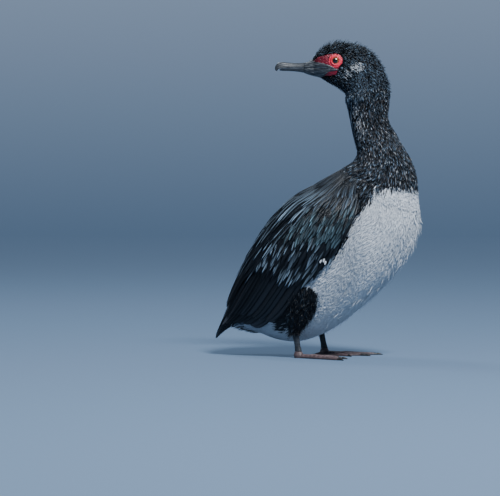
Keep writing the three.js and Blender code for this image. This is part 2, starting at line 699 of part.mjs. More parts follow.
const bird = new THREE.Group();
const add = (name, solid, look) => bird.add(named(name, solid, look));
add('torso', torsoSolid(0), MATERIALS.whitePlumage);
add('neck', neckSolid(HEAD_END, NECK.length - 1, 0, -GAP, GAP), MATERIALS.neckPlumage);
add('head', finishedHead(), MATERIALS.blackPlumage);
add('bill_upper', billSolid(UPPER_BILL), MATERIALS.bill);
add('bill_lower', billSolid(LOWER_BILL), MATERIALS.bill);
add('tail', tailSolid(), MATERIALS.blackPlumage);
for (const [word, leg] of Object.entries(LEG)) {
  const { side } = leg;
  add(`eye_${word}`, sphereInHead(side, EYE_RADIUS), MATERIALS.eye);
  add(`facial_skin_${word}`, facialSkin(side), MATERIALS.redSkin);
  add(`wing_${word}`, wingSolid(side), MATERIALS.blackPlumage);
  add(`thigh_${word}`, thighSolid(leg), MATERIALS.blackPlumage);
  add(`shank_${word}`, shankSolid(leg), MATERIALS.leg);
  add(`foot_${word}`, footSolid(leg), MATERIALS.leg);
}

// The model stands on the floor with the middle of its bounding box over the origin.
const box = new THREE.Box3().setFromObject(bird);
const middle = box.getCenter(new THREE.Vector3());
bird.children.forEach((node) => node.geometry.translate(-middle.x, -middle.y, -box.min.z));

export default bird;
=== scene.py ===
import math

import bpy
import numpy as np
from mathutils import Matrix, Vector


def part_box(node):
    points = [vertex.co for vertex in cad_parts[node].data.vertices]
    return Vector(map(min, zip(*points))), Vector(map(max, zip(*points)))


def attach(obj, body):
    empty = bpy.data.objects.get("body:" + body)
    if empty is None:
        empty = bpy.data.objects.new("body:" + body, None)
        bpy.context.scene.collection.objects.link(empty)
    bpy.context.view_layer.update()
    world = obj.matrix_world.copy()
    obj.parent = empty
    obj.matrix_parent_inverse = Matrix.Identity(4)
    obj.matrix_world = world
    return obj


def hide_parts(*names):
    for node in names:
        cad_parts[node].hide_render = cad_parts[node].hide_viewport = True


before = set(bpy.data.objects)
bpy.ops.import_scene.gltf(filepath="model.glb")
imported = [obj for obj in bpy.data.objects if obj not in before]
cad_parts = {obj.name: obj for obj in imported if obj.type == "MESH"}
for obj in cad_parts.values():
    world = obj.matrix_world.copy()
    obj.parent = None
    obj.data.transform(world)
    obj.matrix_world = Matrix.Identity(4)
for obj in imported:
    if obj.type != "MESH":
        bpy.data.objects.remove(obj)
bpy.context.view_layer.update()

MM = 0.001
RNG = np.random.default_rng(7)

# Driving dimensions, in millimetres and degrees, in the axes the solids are drawn in
HEAD_TURN = math.radians(22)
NECK_TOP_X = 61.5
EYE = (49.0, 16.6, 443.2)  # in front of the neck's axis, to the side, height
EYE_RADIUS = 6.6
PUPIL_RADIUS = 3.2
IRIS_RADIUS = 4.7
LID_OUTSIDE = 9.2  # how far from the eye's middle the bright ring reaches
SKIN_DEPTH = 1.6  # how far the skin lies under the solids' surface
TORSO_END = 8.9  # body station
NECK_END = 17.0  # neck section
CROWN_DIP = (
    (0, 0.5, 1.2, 2, 3, 6, 8, 9.5),
    (0.4, 3.8, 5.6, 5.0, 3.6, 2.8, 1.6, 0.6),
)  # how deep the crest's roots lie at each section
BODY = [
    ((24, 283), (138, 243), 44),
    ((-11, 260), (141, 194), 58),
    ((-46, 241), (126, 156), 66),
    ((-72, 218), (100, 122), 69),
    ((-93, 194), (71, 94), 69),
    ((-110, 169), (31, 61), 66),
    ((-125, 145), (-6, 37), 60),
    ((-140, 118), (-45, 23), 51),
    ((-152, 90), (-76, 24), 42),
    ((-163, 64), (-107, 34), 35),
    ((-173, 42), (-138, 27), 31),
    ((-182, 22), (-156, 13), 28),
]  # back line, keel line and half the width from neck base to tail tip
NECK = [
    ((84, 447), (80, 422), 9, 1),
    ((78, 458), (71, 418.5), 14, 1),
    ((66, 466.5), (60, 412.5), 18, 1),
    ((50, 470.5), (49, 407), 20.5, 1),
    ((30, 471), (40, 402), 22, 1),
    ((9, 466), (34, 397.5), 23.5, 1),
    ((-10, 452), (32, 395), 24.5, 1),
    ((-23, 432), (31, 392.5), 25.5, 1),
    ((-30, 411), (31, 390), 26.5, 1),
    ((-32, 394), (31.5, 388), 27, 1),
    ((-31.5, 378), (29, 377), 26.5, 0.9),
    ((-29.5, 364), (27, 364), 25, 0.75),
    ((-32.5, 349), (24, 350), 25, 0.6),
    ((-42, 333), (20.5, 335), 27, 0.45),
    ((-51, 316), (17.5, 321), 30, 0.3),
    ((-62, 296), (14, 306), 34, 0.15),
    ((-69, 273), (19, 294), 39, 0.05),
    ((-72.2, 244.6), (34, 284.5), 44, 0),
]  # crown line, throat line, half the width and share of the head's turn from bill to neck base
UPPER_BILL = [
    ((72, 447), (72, 432.9), 9.5),
    ((84.5, 445.6), (82.2, 432.9), 8.8),
    ((90, 441.8), (89, 432.7), 7.3),
    ((100, 440.4), (99.5, 432.9), 5.8),
    ((110, 440.2), (110, 432.9), 5),
    ((120, 441), (120, 432.5), 4.6),
    ((128, 441.6), (128, 431.9), 4.4),
    ((133.5, 440.6), (132.6, 431.3), 4),
    ((137.2, 437.6), (134.2, 430.6), 3.2),
    ((138.9, 433.2), (134.8, 429.6), 2.3),
    ((138.6, 429.4), (136.2, 427.9), 1.1),
]  # ridge and mouth line, in front of the neck's axis and height, and half the width
LOWER_BILL = [
    ((70, 419), (70, 432.4), 9.6),
    ((80.6, 422.2), (82.1, 432.5), 8.6),
    ((90, 424.4), (90, 432.3), 6.7),
    ((100, 426.4), (100, 432.5), 5.2),
    ((110, 427.6), (110, 432.5), 4.4),
    ((120, 428.2), (120, 432.1), 3.8),
    ((128, 428.4), (128, 431.5), 3.2),
    ((132, 428.9), (132, 431), 2.2),
]
BILL_PROFILE = [(1, 0), (0.98, 0.3), (0.8, 0.52), (0.77, 0.64), (0.5, 0.9), (0, 1)]
GAPE = [
    (95, 439.4, 426.2),
    (86, 441.6, 423.0),
    (76, 441.2, 420.6),
    (66, 439.2, 421.2),
    (58.5, 436.2, 427),
    (51, 432.6, 428.6),
    (45.5, 430.4, 429.6),
]  # dark horny corner of the mouth: in front of the neck's axis, upper and lower edge
FACE_OUTLINE = [
    (84, 443), (75, 448.5), (66, 450.8), (57, 453), (48, 453.8), (42, 451.5), (38.2, 445.5), (39, 439.5),
    (43.5, 434.2), (45.6, 430), (46.2, 426.5), (48, 422.6), (57, 420.2), (69, 419.6), (84, 422),
]  # all that is bare, seen from the side
THIGHS = {
    "right": ((-20, -49, 116), (-38, -44, 42)),
    "left": ((-14, 49, 116), (-31, 44, 42)),
}
THIGH_SECTIONS = [
    (0, 34, 20),
    (0.3, 31, 18),
    (0.55, 26, 15.5),
    (0.75, 19, 12.5),
    (0.9, 12.5, 9.5),
    (1, 7.5, 6),
]  # share of the way from hip to heel, half the depth and half the width
WING_SIDES = {"left": 1, "right": -1}
TOES = ((32, -102), (54, -30), (68, -4), (80, 20))  # length and degrees outward of each toe
TOE_ROOTS = {"right": (-31, -43), "left": (-22, 43)}
FLANK_BORDER = ((20, 48, 73, 95, 108, 138, 168, 213, 243), (-25, -6, 2, -6, -15, 24, 46, 69, 85))
WHITE_SPOTS = [
    ((20, 435), (11, 8), 0.85, 0.7),
    ((35, 424), (10, 8), 0.42, 1),
    ((21, 376), (7, 13), 0.6, 1),
    ((14, 351), (9, 20), 0.35, 1),
]  # white on the head and neck: centre and half lengths, share of feathers, power it falls off with
STRAY_WHITE = (405, 0.03)  # below this height, this share of the other feathers is white too
WHITE_TOP = 255  # above this height the feathers' roots are black again
NECK_WHITE_X = 88  # the neck's feathers are white only in front of this
THIGH_BACK_X = -56  # behind this the flank is black only above the wing's edge
WING_EDGE = ((5, 6.5, 7.5, 9), (104, 96, 84, 80))  # station, degrees round from the back
PALE_FLECK = (3.4, 100)  # the one white feather on the wing's edge
MOUTH_LEVEL = (431.2, 50, 0.045)  # height of the mouth line, at which distance, and how much it climbs
GAPE_RISE = 1.3  # how far the corner of the mouth stands off the face
GAPE_SUNK = 0.9  # how deep its edges lie in the face
GAPE_GROOVE = 1.1
GAPE_THICK = 1.2
GAPE_BLEND = (74, 90)  # between these distances it runs out onto the bill
SKIN_VOXEL = 2.0

# The coat: distance of rows and of feathers in a row, and how feathers change along it as stations and values
ROW_JITTER = 0.45  # how far a feather stands out of its row, as a share of the distance
HEAD_PITCH = (1.75, 1.35)
HEAD_GLINTS = ((2, 6), (0.2, 0.45))  # share of feathers with a painted glint on the tip
CROWN_SPREAD = 75  # degrees either side of the crown line where feathers stand up
CROWN_STAND = ((0.1, 0.9, 1.8, 5, 7, 9), (0.05, 0.4, 0.8, 0.8, 0.5, 0.35))
FACE_SHORT = ((0, 2.5, 4, 7), (1, 1, 0.5, 0))  # how far feathers are the face's short ones
THROAT_LOOSE = ((1, 2.5, 7, 9), (0, 1, 1, 0.3))
HEAD_ROOT = -1.8  # how high the roots lie, under the skin's surface
CREST_LOCKS = 420
CREST_SPREAD = 30  # degrees
LOCK_HEIGHT = ((0.8, 1.8, 4.5, 9), (0.55, 1, 0.9, 0.55))
LOCK_LENGTH = 8.5
LOCK_LIFT = (3.4, 9.2)  # height of the middle and the tip of the tallest
NECK_PIECES = {"coat_neck_upper": (8.9, 13.2), "coat_neck_lower": (13.2, 17.75)}
NECK_PITCH = (1.8, 1.45)
NECK_LENGTH = ((9, 17), (7, 9.5))
NECK_WIDTH = ((9, 17), (1.2, 1.8))
BELLY_PIECES = {"breast": (0.0, 3.4), "belly": (3.4, TORSO_END)}
BELLY_SPAN = (72, 181)  # degrees round from the back
BELLY_PITCH = (2.4, 1.5)
BELLY_LENGTH = ((0, 2, 7, 8.9), (15, 21, 21, 14))
BELLY_SHADE = ((5.5, 7.5), (0, 0.8))  # painted shade: how far the white darkens towards the vent
LOOSE_SHARE = 0.05  # of the breast's tufts in front that are doubled by a loose one
MANTLE_PITCH = (4.0, 3.0)
MANTLE_LENGTH = ((0, 1.5, 8), (11, 17, 16))
THIGH_PITCH = (2.0, 1.6)
THIGH_LENGTH = ((0.2, 1), (17, 14))
THIGH_FRINGE = 120  # loose tufts down the front of each thigh
VANE_ROLL = 6.5  # degrees that wing feathers are turned about their shafts, so that they lap
TAIL_FEATHERS = 6  # on each side
TAIL_ROLL = 4

# Feathers' barbs: their slant, and waves for ten millimetres along the shaft
BARB_SLANT = -1.4
BARB_BEAT = 62.0

# The map for baking: size of one feather's patch on it, and its empty edge
BAKE_PATCH = 0.003
BAKE_EDGE = 0.02

# The camera, in metres and degrees, its lens in millimetres
CAMERA_AZIMUTH = math.radians(22)
CAMERA_ELEVATION = math.radians(2)
CAMERA_DISTANCE = 5.0
CAMERA_LENS = 240.0
SENSOR = 36
VIEW_RIGHT = np.array([math.cos(CAMERA_AZIMUTH), math.sin(CAMERA_AZIMUTH), 0])
VIEW_AWAY = np.array([-math.sin(CAMERA_AZIMUTH), math.cos(CAMERA_AZIMUTH), 0])
AIM = (-119.0, 163.5)  # the picture's middle: across the view in the body's frame, and height

# The floor and backdrop, in metres
SWEEP = {"front": -6.5, "back": 5.6, "curve": 1.6, "height": 5.0, "half": 9.0}
# how brightly the floor and backdrop glow in their own tones, as painted light
SWEEP_GLOW = 0.6

# The lights: place and size in metres, power in watts, and colour
LIGHTS = {
    "key": ((1.7, -1.7, 2.9), 0.8, 235, (0.92, 0.96, 1.0)),
    "rim": ((-1.4, 0.9, 2.3), 0.9, 22, (0.75, 0.88, 1.0)),
}
LIGHT_AIM = (0, 0, 0.25)
SKY_GLOW = 0.3

# Colours, in linear light
BLACK = (0.0045, 0.0060, 0.0090)
NECK_BLACK = (0.0055, 0.0070, 0.0100)
BRONZE = (0.030, 0.032, 0.040)
# painted sheen and painted glints for the tips of dark feathers, in place of their gloss catching the light
TEAL_SHEEN = (0.085, 0.145, 0.180)
SILVER_GLINT = (0.23, 0.32, 0.41)
GLINT = (0.14, 0.20, 0.27)
WARM_GLINT = (0.15, 0.135, 0.135)
WHITE = (0.80, 0.84, 0.89)
# the vent's white feathers in painted shade
VENT_SHADE = (0.36, 0.40, 0.46)
RING_RED = (0.66, 0.020, 0.048)
LORE_RED = (0.16, 0.003, 0.016)
HORN = (0.030, 0.034, 0.040)
HORN_STREAK = (0.16, 0.175, 0.19)
SHANK = (0.020, 0.024, 0.031)
FOOT = (0.105, 0.070, 0.073)
CLAW = (0.010, 0.010, 0.011)
PUPIL = (0.001, 0.001, 0.001)
IRIS = (0.035, 0.016, 0.008)
IRIS_RIM = (0.42, 0.20, 0.04)
# painted shadow of the lids on the eyeball
LID_SHADOW = (0.10, 0.008, 0.012)
FLOOR_TONE = (0.085, 0.135, 0.21)
WALL_TONE = (0.34, 0.42, 0.55)
SKY = (0.38, 0.50, 0.68)


def column(values):
    return np.asarray(values, dtype=float)[..., None]


def mix(a, b, t):
    return a + (b - a) * t


def together(*values):
    """Arrays of one shape."""
    return np.broadcast_arrays(*(np.asarray(value, float) for value in values))


# Surfaces: each gives points in millimetres for two running numbers and a height above the surface


def spline(points, s):
    """The smooth curve through rows of numbers, at station s counted from the first row."""
    rows = np.asarray(points, dtype=float)
    s = np.clip(s, 0, len(rows) - 1)
    i = np.minimum(s.astype(int), len(rows) - 2)
    t = column(s - i)
    padded = np.vstack([2 * rows[0] - rows[1], rows, 2 * rows[-1] - rows[-2]])
    a, b, c, d = (padded[i + k] for k in range(4))
    return 0.5 * (2 * b + (c - a) * t + (2 * a - 5 * b + 4 * c - d) * t**2 + (3 * b - a - 3 * c + d) * t**3)


BACK_ROWS = [(*back, half) for back, _, half in BODY]
KEEL_ROWS = [(*keel, half) for _, keel, half in BODY]
NECK_ROWS = [(*crown, *throat, half, turn) for crown, throat, half, turn in NECK]


def body_surface(side):
    """The body's envelope: station from the neck, degrees round from the back line to one side."""

    def surface(s, degrees, height):
        s, degrees, height = together(s, degrees, height)
        back = spline(BACK_ROWS, s)
        keel = spline(KEEL_ROWS, s)
        middle = (back[..., :2] + keel[..., :2]) / 2
        reach = (back[..., :2] - keel[..., :2]) / 2
        deep = np.linalg.norm(reach, axis=-1)
        half = back[..., 2]
        angle = np.radians(degrees)
        out_up = np.cos(angle) / deep
        out_side = np.sin(angle) / half
        scale = height / np.hypot(out_up, out_side)
        along = deep * np.cos(angle) + out_up * scale
        across = half * np.sin(angle) + out_side * scale
        flat = middle + reach / column(deep) * column(along)
        return np.stack([flat[..., 0], side * across, flat[..., 1]], axis=-1)

    return surface


def neck_surface(n, degrees, height):
    """The head and neck: section counted from the bill, degrees round from the crown to the head's left."""
    n, degrees, height = together(n, degrees, height)
    x1, z1, x0, z0, half, turn = np.moveaxis(spline(NECK_ROWS, n), -1, 0)
    reach = np.hypot(x1 - x0, z1 - z0) / 2
    axis_x = (x1 - x0) / 2 / reach
    axis_z = (z1 - z0) / 2 / reach
    angle = np.radians(degrees)
    height = height - np.interp(n, *CROWN_DIP) * np.clip(np.cos(angle), 0, 1)
    along = (reach + height) * np.cos(angle)
    forward = (x0 + x1) / 2 + axis_x * along
    level = (z0 + z1) / 2 + axis_z * along
    drift = (x0 + x1) / 2 * (1 - turn)
    turned = HEAD_TURN * turn
    reach_out = -(forward - drift) / np.cos(HEAD_TURN - turned)
    sideways = (half + height) * np.sin(angle)
    x = NECK_TOP_X - drift / math.cos(HEAD_TURN) + reach_out * np.cos(turned) + sideways * np.sin(turned)
    y = reach_out * np.sin(turned) - sideways * np.cos(turned)
    return np.stack([x, y, level], axis=-1)


def lower_neck_surface(n, degrees, height):
    """The neck, running on over the body below its last section, so that its feathers lap the breast."""
    n, degrees, height = together(n, degrees, height)
    degrees = (degrees + 180) % 360 - 180
    on_neck = neck_surface(np.minimum(n, NECK_END), degrees, height)
    on_body = body_surface(1)(np.maximum(n - NECK_END, 0) * 0.5, 180 - np.abs(degrees), height)
    on_body[..., 1] *= -np.sign(degrees)
    share = column(np.clip((n - NECK_END + 0.5) / 0.5, 0, 1))
    return mix(on_neck, on_body, share)


def thigh_surface(hip, heel):
    """One thigh: share of the way from hip to heel, and degrees round it."""
    hip, heel = np.array(hip, float), np.array(heel, float)
    shares, fores, sides = np.array(THIGH_SECTIONS).T

    def surface(t, degrees, height):
        t, degrees, height = together(t, degrees, height)
        fore = np.interp(t, shares, fores) + height
        side = np.interp(t, shares, sides) + height
        angle = np.radians(degrees)
        around = np.stack([fore * np.cos(angle), side * np.sin(angle), 0 * angle], axis=-1)
        return hip + (heel - hip) * column(t) + around

    return surface


def head_place(points):
    """Distance in front of the neck's axis, sideways to the head's left, and height, for points in mm."""
    dx = points[..., 0] - NECK_TOP_X
    c, s = math.cos(HEAD_TURN), math.sin(HEAD_TURN)
    return -(dx * c + points[..., 1] * s), dx * s - points[..., 1] * c, points[..., 2]


def from_head(forward, side, level):
    c, s = math.cos(HEAD_TURN), math.sin(HEAD_TURN)
    x = NECK_TOP_X - forward * c + side * s
    return np.stack([x, -forward * s - side * c, level + 0 * forward], axis=-1)


def head_width(forward, level):
    """Half the head's width at a place seen from the side, found on the section that the place lies on."""
    x1, z1, x0, z0, half, _ = spline(NECK_ROWS, np.linspace(0, 6, 301)).T
    reach = np.hypot(x1 - x0, z1 - z0) / 2
    axis_x, axis_z = (x1 - x0) / 2 / reach, (z1 - z0) / 2 / reach
    dx = column(forward) - (x0 + x1) / 2
    dz = column(level) - (z0 + z1) / 2
    nearest = np.abs(dx * axis_z - dz * axis_x).argmin(axis=-1)
    along = np.take_along_axis(dx * axis_x + dz * axis_z, nearest[..., None], axis=-1)[..., 0]
    return half[nearest] * np.sqrt(np.clip(1 - (along / reach[nearest]) ** 2, 0.02, 1))


# The model's middle lies over the origin, so the photo's own frame is moved by where the eye is
eye_low, eye_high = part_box("eye_left")
SHIFT = np.array((eye_low + eye_high) / 2) / MM - from_head(*EYE)


def to_scene(points):
    return (np.asarray(points) + SHIFT) * MM


# Mesh making


def make_mesh(name, verts, faces, material, colours=None, bake=None, vane=None):
    """An object from arrays of corners and triangles, with its colours and its two maps."""
    mesh = bpy.data.meshes.new(name)
    mesh.vertices.add(len(verts))
    mesh.vertices.foreach_set("co", to_scene(verts).astype(np.float32).ravel())
    mesh.loops.add(len(faces) * 3)
    mesh.loops.foreach_set("vertex_index", faces.astype(np.int32).ravel())
    mesh.polygons.add(len(faces))
    mesh.polygons.foreach_set("loop_start", np.arange(len(faces), dtype=np.int32) * 3)
    corner = faces.ravel()
    for label, values in (("OFBake", bake), ("Vane", vane)):
        if values is not None:
            layer = mesh.uv_layers.new(name=label)
            layer.uv.foreach_set("vector", values[corner].astype(np.float32).ravel())
    if colours is not None:
        add_colours(mesh, colours)
    mesh.update(calc_edges=True)
    mesh.validate()
    dress(mesh, material)
    obj = bpy.data.objects.new(name, mesh)
    bpy.context.scene.collection.objects.link(obj)
    return obj


def dress(mesh, material):
    mesh.materials.clear()
    mesh.materials.append(material)
    mesh.polygons.foreach_set("use_smooth", np.ones(len(mesh.polygons), dtype=bool))


def add_colours(mesh, colours):
    layer = mesh.color_attributes.new(name="Mark", type="FLOAT_COLOR", domain="POINT")
    full = np.ones((len(mesh.vertices), 4), dtype=np.float32)
    full[:, :3] = colours
    layer.data.foreach_set("color", full.ravel())


def corner_points(mesh):
    points = np.empty(len(mesh.vertices) * 3, dtype=np.float32)
    mesh.vertices.foreach_get("co", points)
    return points.reshape(-1, 3) / MM - SHIFT


def grid_faces(rows, columns, wrap):
    """Triangles of a grid of points, closed round where wrap is set."""
    i, j = np.meshgrid(np.arange(rows - 1), np.arange(columns - (0 if wrap else 1)), indexing="ij")
    a = (i * columns + j).ravel()
    b = (i * columns + (j + 1) % columns).ravel()
    return np.concatenate([np.stack([a, b, a + columns], 1), np.stack([b, b + columns, a + columns], 1)])


def tube_faces(rows, columns):
    """Triangles of a closed tube: a grid round it and a fan over each end."""
    j = np.arange(1, columns - 1)
    last = (rows - 1) * columns
    start_fan = np.stack([0 * j, j + 1, j], 1)
    end_fan = np.stack([0 * j + last, last + j, last + j + 1], 1)
    return np.concatenate([grid_faces(rows, columns, True), start_fan, end_fan])


def select_only(*objects):
    """Selects these objects and makes the first one active."""
    bpy.ops.object.select_all(action="DESELECT")
    for obj in objects:
        obj.select_set(True)
    bpy.context.view_layer.objects.active = objects[0]


def apply_modifiers(obj, steps):
    select_only(obj)
    for kind, settings in steps:
        modifier = obj.modifiers.new(kind.lower(), kind)
        for key, value in settings.items():
            setattr(modifier, key, value)
        bpy.ops.object.modifier_apply(modifier=modifier.name)


# Feathers


class Template:
    """One feather's shape: rings along it, each a closed loop across it, closing on a point at the tip."""

    def __init__(self, rings, loop):
        count = len(loop)
        self.t = np.array([t for t, _ in rings for _ in loop] + [1.0])
        self.across = np.array([share * a for _, share in rings for a, _ in loop] + [0.0])
        self.rise = np.array([h * min(1.0, share + 0.3) for _, share in rings for _, h in loop] + [0.0])
        self.edge = np.array([2 * abs(a) for _ in rings for a, _ in loop] + [0.0])
        faces = []
        for i in range(len(rings) - 1):
            for j in range(count):
                a, b = i * count + j, i * count + (j + 1) % count
                faces += [(a, b, a + count), (b, b + count, a + count)]
        last = (len(rings) - 1) * count
        tip = len(rings) * count
        faces += [(last + j, last + (j + 1) % count, tip) for j in range(count)]
        faces += [(0, j + 1, j) for j in range(1, count - 1)]
        self.faces = np.array(faces)


TUFT = Template([(0.0, 0.7), (0.4, 1.0), (0.75, 0.6)], [(-0.5, 0), (0.5, 0), (0, 1)])
FLUFF = Template([(0.0, 0.6), (0.3, 1.0), (0.6, 0.85), (0.85, 0.45)], [(-0.5, 0), (0.5, 0), (0, 1)])
HALF_VANE = [(0.5, 0), (0.27, 0.25), (0.05, 0.45)]  # from the edge to the shaft: place across, and height
VANE_LOOP = [(-0.3, -0.4), (0.3, -0.4), *HALF_VANE, (0, 1), *((-a, h) for a, h in reversed(HALF_VANE))]
LONG_VANE = Template(
    [(0, 0.5), (0.12, 0.72), (0.3, 0.92), (0.5, 1), (0.68, 1), (0.8, 0.95), (0.89, 0.8), (0.95, 0.55),
     (0.985, 0.28)],
    VANE_LOOP,
)
POINTED_VANE = Template(
    [(0, 0.6), (0.15, 0.85), (0.32, 1), (0.5, 0.92), (0.66, 0.72), (0.8, 0.5), (0.92, 0.25)], VANE_LOOP
)
ROUND_VANE = Template(
    [(0, 0.6), (0.18, 0.85), (0.38, 1), (0.58, 0.98), (0.74, 0.85), (0.86, 0.65), (0.94, 0.42), (0.985, 0.2)],
    VANE_LOOP,
)
VANES = {"long": LONG_VANE, "pointed": POINTED_VANE, "round": ROUND_VANE}


class Coat:
    """Collects feathers on a surface and turns them into one mesh."""

    def __init__(self, name, surface, frame_of_map):
        self.name = name
        self.surface = surface
        self.low, self.high = (np.array(v, float) for v in frame_of_map)
        self.parts = []

    def normal(self, u, v):
        out = self.surface(u, v, 2.0) - self.surface(u, v, 0.0)
        return out / np.linalg.norm(out, axis=-1, keepdims=True)

    def pitch(self, u, v):
        """Millimetres for one unit of each running number."""
        step_u, step_v = 0.02, 0.5
        at = self.surface(u, v, 0)
        du = np.linalg.norm(self.surface(u + step_u, v, 0) - at, axis=-1) / step_u
        dv = np.linalg.norm(self.surface(u, v + step_v, 0) - at, axis=-1) / step_v
        return np.maximum(du, 1e-3), np.maximum(dv, 1e-3)

    def reach(self, u, v, length, lean):
        """Where tips lie for feathers of a length, turned by lean degrees off the +u way."""
        pu, pv = self.pitch(u, v)
        angle = np.radians(lean)
        return u + length * np.cos(angle) / pu, v + length * np.sin(angle) / pv

    def add(self, template, roots, tips, width, lift, base, tip, ragged=0.0, thick=0.35, roll=0.0, rim=0.0):
        """Feathers from roots to tips, both places on the surface. lift is the height of root, middle and
        tip above it, roll turns them about their shaft, and rim is how much darker their edges stay."""
        values = np.broadcast_arrays(*roots, *tips, width, roll, *lift)
        u, v, tip_u, tip_v, width, roll, low, middle, high = values
        count = len(u)
        root = self.surface(u, v, low)
        mid = self.surface(mix(u, tip_u, 0.5), mix(v, tip_v, 0.5), middle)
        end = self.surface(tip_u, tip_v, high)
        t = template.t[None, :, None]
        line = root[:, None] * (2 * t**2 - 3 * t + 1) + mid[:, None] * (4 * t - 4 * t**2)
        line = line + end[:, None] * (2 * t**2 - t)
        out = mix(self.normal(u, v)[:, None], self.normal(tip_u, tip_v)[:, None], t)
        across = np.cross(out, (end - root)[:, None])
        across /= np.linalg.norm(across, axis=-1, keepdims=True) + 1e-9
        rolled = np.radians(roll)[:, None, None]
        across = across * np.cos(rolled) + out * np.sin(rolled)
        noise = 1 + ragged * RNG.normal(size=(count, len(template.t))) * (template.edge > 0.9)
        wide = template.across * noise * width[:, None]
        verts = line + across * wide[..., None] + out * (template.rise * thick)[None, :, None]
        share = (np.clip(template.t, 0, 1) ** 2 * (1 - rim * template.edge))[None, :, None]
        base = np.broadcast_to(np.asarray(base, float), (count, 3))
        tip = np.broadcast_to(np.asarray(tip, float), (count, 3))
        tint = mix(base[:, None], tip[:, None], share)
        place = np.clip((np.stack([u, v], axis=-1) - self.low) / (self.high - self.low), 0, 1)
        place = mix(BAKE_EDGE, 1 - BAKE_EDGE, place)
        bake = place[:, None] + np.stack([template.t - 0.5, template.across], axis=-1)[None] * BAKE_PATCH
        length = np.linalg.norm(end - root, axis=-1)
        vane = np.stack([template.t * length[:, None], template.across * width[:, None]], axis=-1) / 10
        flat = [part.reshape(-1, part.shape[-1]) for part in (verts, tint, bake, vane)]
        self.parts.append((template.faces, count, len(template.t), flat))

    def build(self, material):
        """The collected feathers as one object that rides on the bird."""
        faces, stores = [], [[], [], [], []]
        start = 0
        for template_faces, count, size, flat in self.parts:
            offsets = start + np.arange(count)[:, None, None] * size
            faces.append((template_faces[None] + offsets).reshape(-1, 3))
            for store, part in zip(stores, flat):
                store.append(part)
            start += count * size
        verts, tints, bakes, vanes = (np.concatenate(store) for store in stores)
        obj = make_mesh(self.name, verts, np.concatenate(faces), material, tints, bakes, vanes)
        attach(obj, "root")
        return obj


def rows_over(coat, u_range, v_range, pitch_u, pitch_v):
    """Roots in staggered rows over part of a surface, pitch_u and pitch_v apart in millimetres."""
    us, vs = [], []
    u = u_range[0]
    row = 0
    while u < u_range[1]:
        middle = np.array([(v_range[0] + v_range[1]) / 2])
        spread = np.linspace(v_range[0], v_range[1], 33)
        line = coat.surface(np.full(33, u), spread, 0)
        steps = np.linalg.norm(np.diff(line, axis=0), axis=1)
        arc = np.concatenate([[0], np.cumsum(steps)])
        count = max(3, int(arc[-1] / pitch_v))
        at = (np.arange(count) + 0.5 * (row % 2) + ROW_JITTER * RNG.uniform(-1, 1, count)) / count
        v = np.interp(np.clip(at, 0, 1) * arc[-1], arc, spread)
        along, _ = coat.pitch(np.full(1, u), middle)
        us.append(u + ROW_JITTER * RNG.uniform(-1, 1, count) * pitch_u / along[0])
        vs.append(v)
        u += pitch_u / along[0]
        row += 1
    return np.clip(np.concatenate(us), *u_range), np.concatenate(vs)


def varied(colour, count, amount):
    """A colour, each feather's a little lighter or darker."""
    return np.asarray(colour) * np.exp(column(RNG.normal(0, amount, count)))


def chosen(count, share):
    """True at random for a share of the feathers, as a column."""
    return column(RNG.uniform(size=count) < share) > 0


def wave(u, v, size_u, size_v):
    """A soft uneven pattern between about -1 and 1, for tufts that lean together."""
    slow = np.sin(u / size_u + 1.7 * np.sin(v / size_v * 0.6))
    return 0.6 * slow + 0.4 * np.sin(v / size_v + 2.1 * np.sin(u / size_u * 0.5))


# Materials


def new_material(name, roughness):
    """A material whose colour is the mesh's marks."""
    material = bpy.data.materials.new(name)
    material.use_nodes = True
    nodes, links = material.node_tree.nodes, material.node_tree.links
    shader = nodes["Principled BSDF"]
    shader.inputs["Roughness"].default_value = roughness
    mark = nodes.new("ShaderNodeVertexColor")
    mark.layer_name = "Mark"
    links.new(mark.outputs["Color"], shader.inputs["Base Color"])
    return material, nodes, links, shader, mark.outputs["Color"]


def add_node(nodes, kind, **values):
    """A shader node with constant numbers on the inputs named."""
    node = nodes.new("ShaderNode" + kind)
    for label, value in values.items():
        node.inputs[label.replace("_", " ")].default_value = value
    return node


def math_node(nodes, links, operation, *values):
    """A maths node with sockets or constant numbers on its inputs, and its result."""
    node = add_node(nodes, "Math")
    node.operation = operation
    for socket, value in zip(node.inputs, values):
        if isinstance(value, bpy.types.NodeSocket):
            links.new(value, socket)
        else:
            socket.default_value = value
    return node.outputs[0]


def add_bump(nodes, links, shader, height, strength, distance):
    bump = add_node(nodes, "Bump", Strength=strength, Distance=distance)
    links.new(height, bump.inputs["Height"])
    links.new(bump.outputs["Normal"], shader.inputs["Normal"])


def plumage_material():
    """Feathers and the skin under them: the mesh's markings, with fine barbs, glossy where they are dark."""
    material, nodes, links, shader, colour = new_material("plumage", 0.5)
    vane = add_node(nodes, "UVMap")
    vane.uv_map = "Vane"
    split = add_node(nodes, "SeparateXYZ")
    links.new(vane.outputs["UV"], split.inputs["Vector"])
    aside = math_node(nodes, links, "ABSOLUTE", split.outputs["Y"])
    slant = math_node(nodes, links, "MULTIPLY_ADD", aside, BARB_SLANT, split.outputs["X"])
    barbs = math_node(nodes, links, "SINE", math_node(nodes, links, "MULTIPLY", slant, BARB_BEAT))
    add_bump(nodes, links, shader, barbs, 0.35, 0.3 * MM)
    grey = add_node(nodes, "RGBToBW")
    links.new(colour, grey.inputs["Color"])
    rough = add_node(nodes, "MapRange", From_Max=0.3, To_Min=0.3, To_Max=0.85)
    links.new(grey.outputs["Val"], rough.inputs["Value"])
    links.new(rough.outputs["Result"], shader.inputs["Roughness"])
    shader.inputs["Specular IOR Level"].default_value = 0.3
    return material


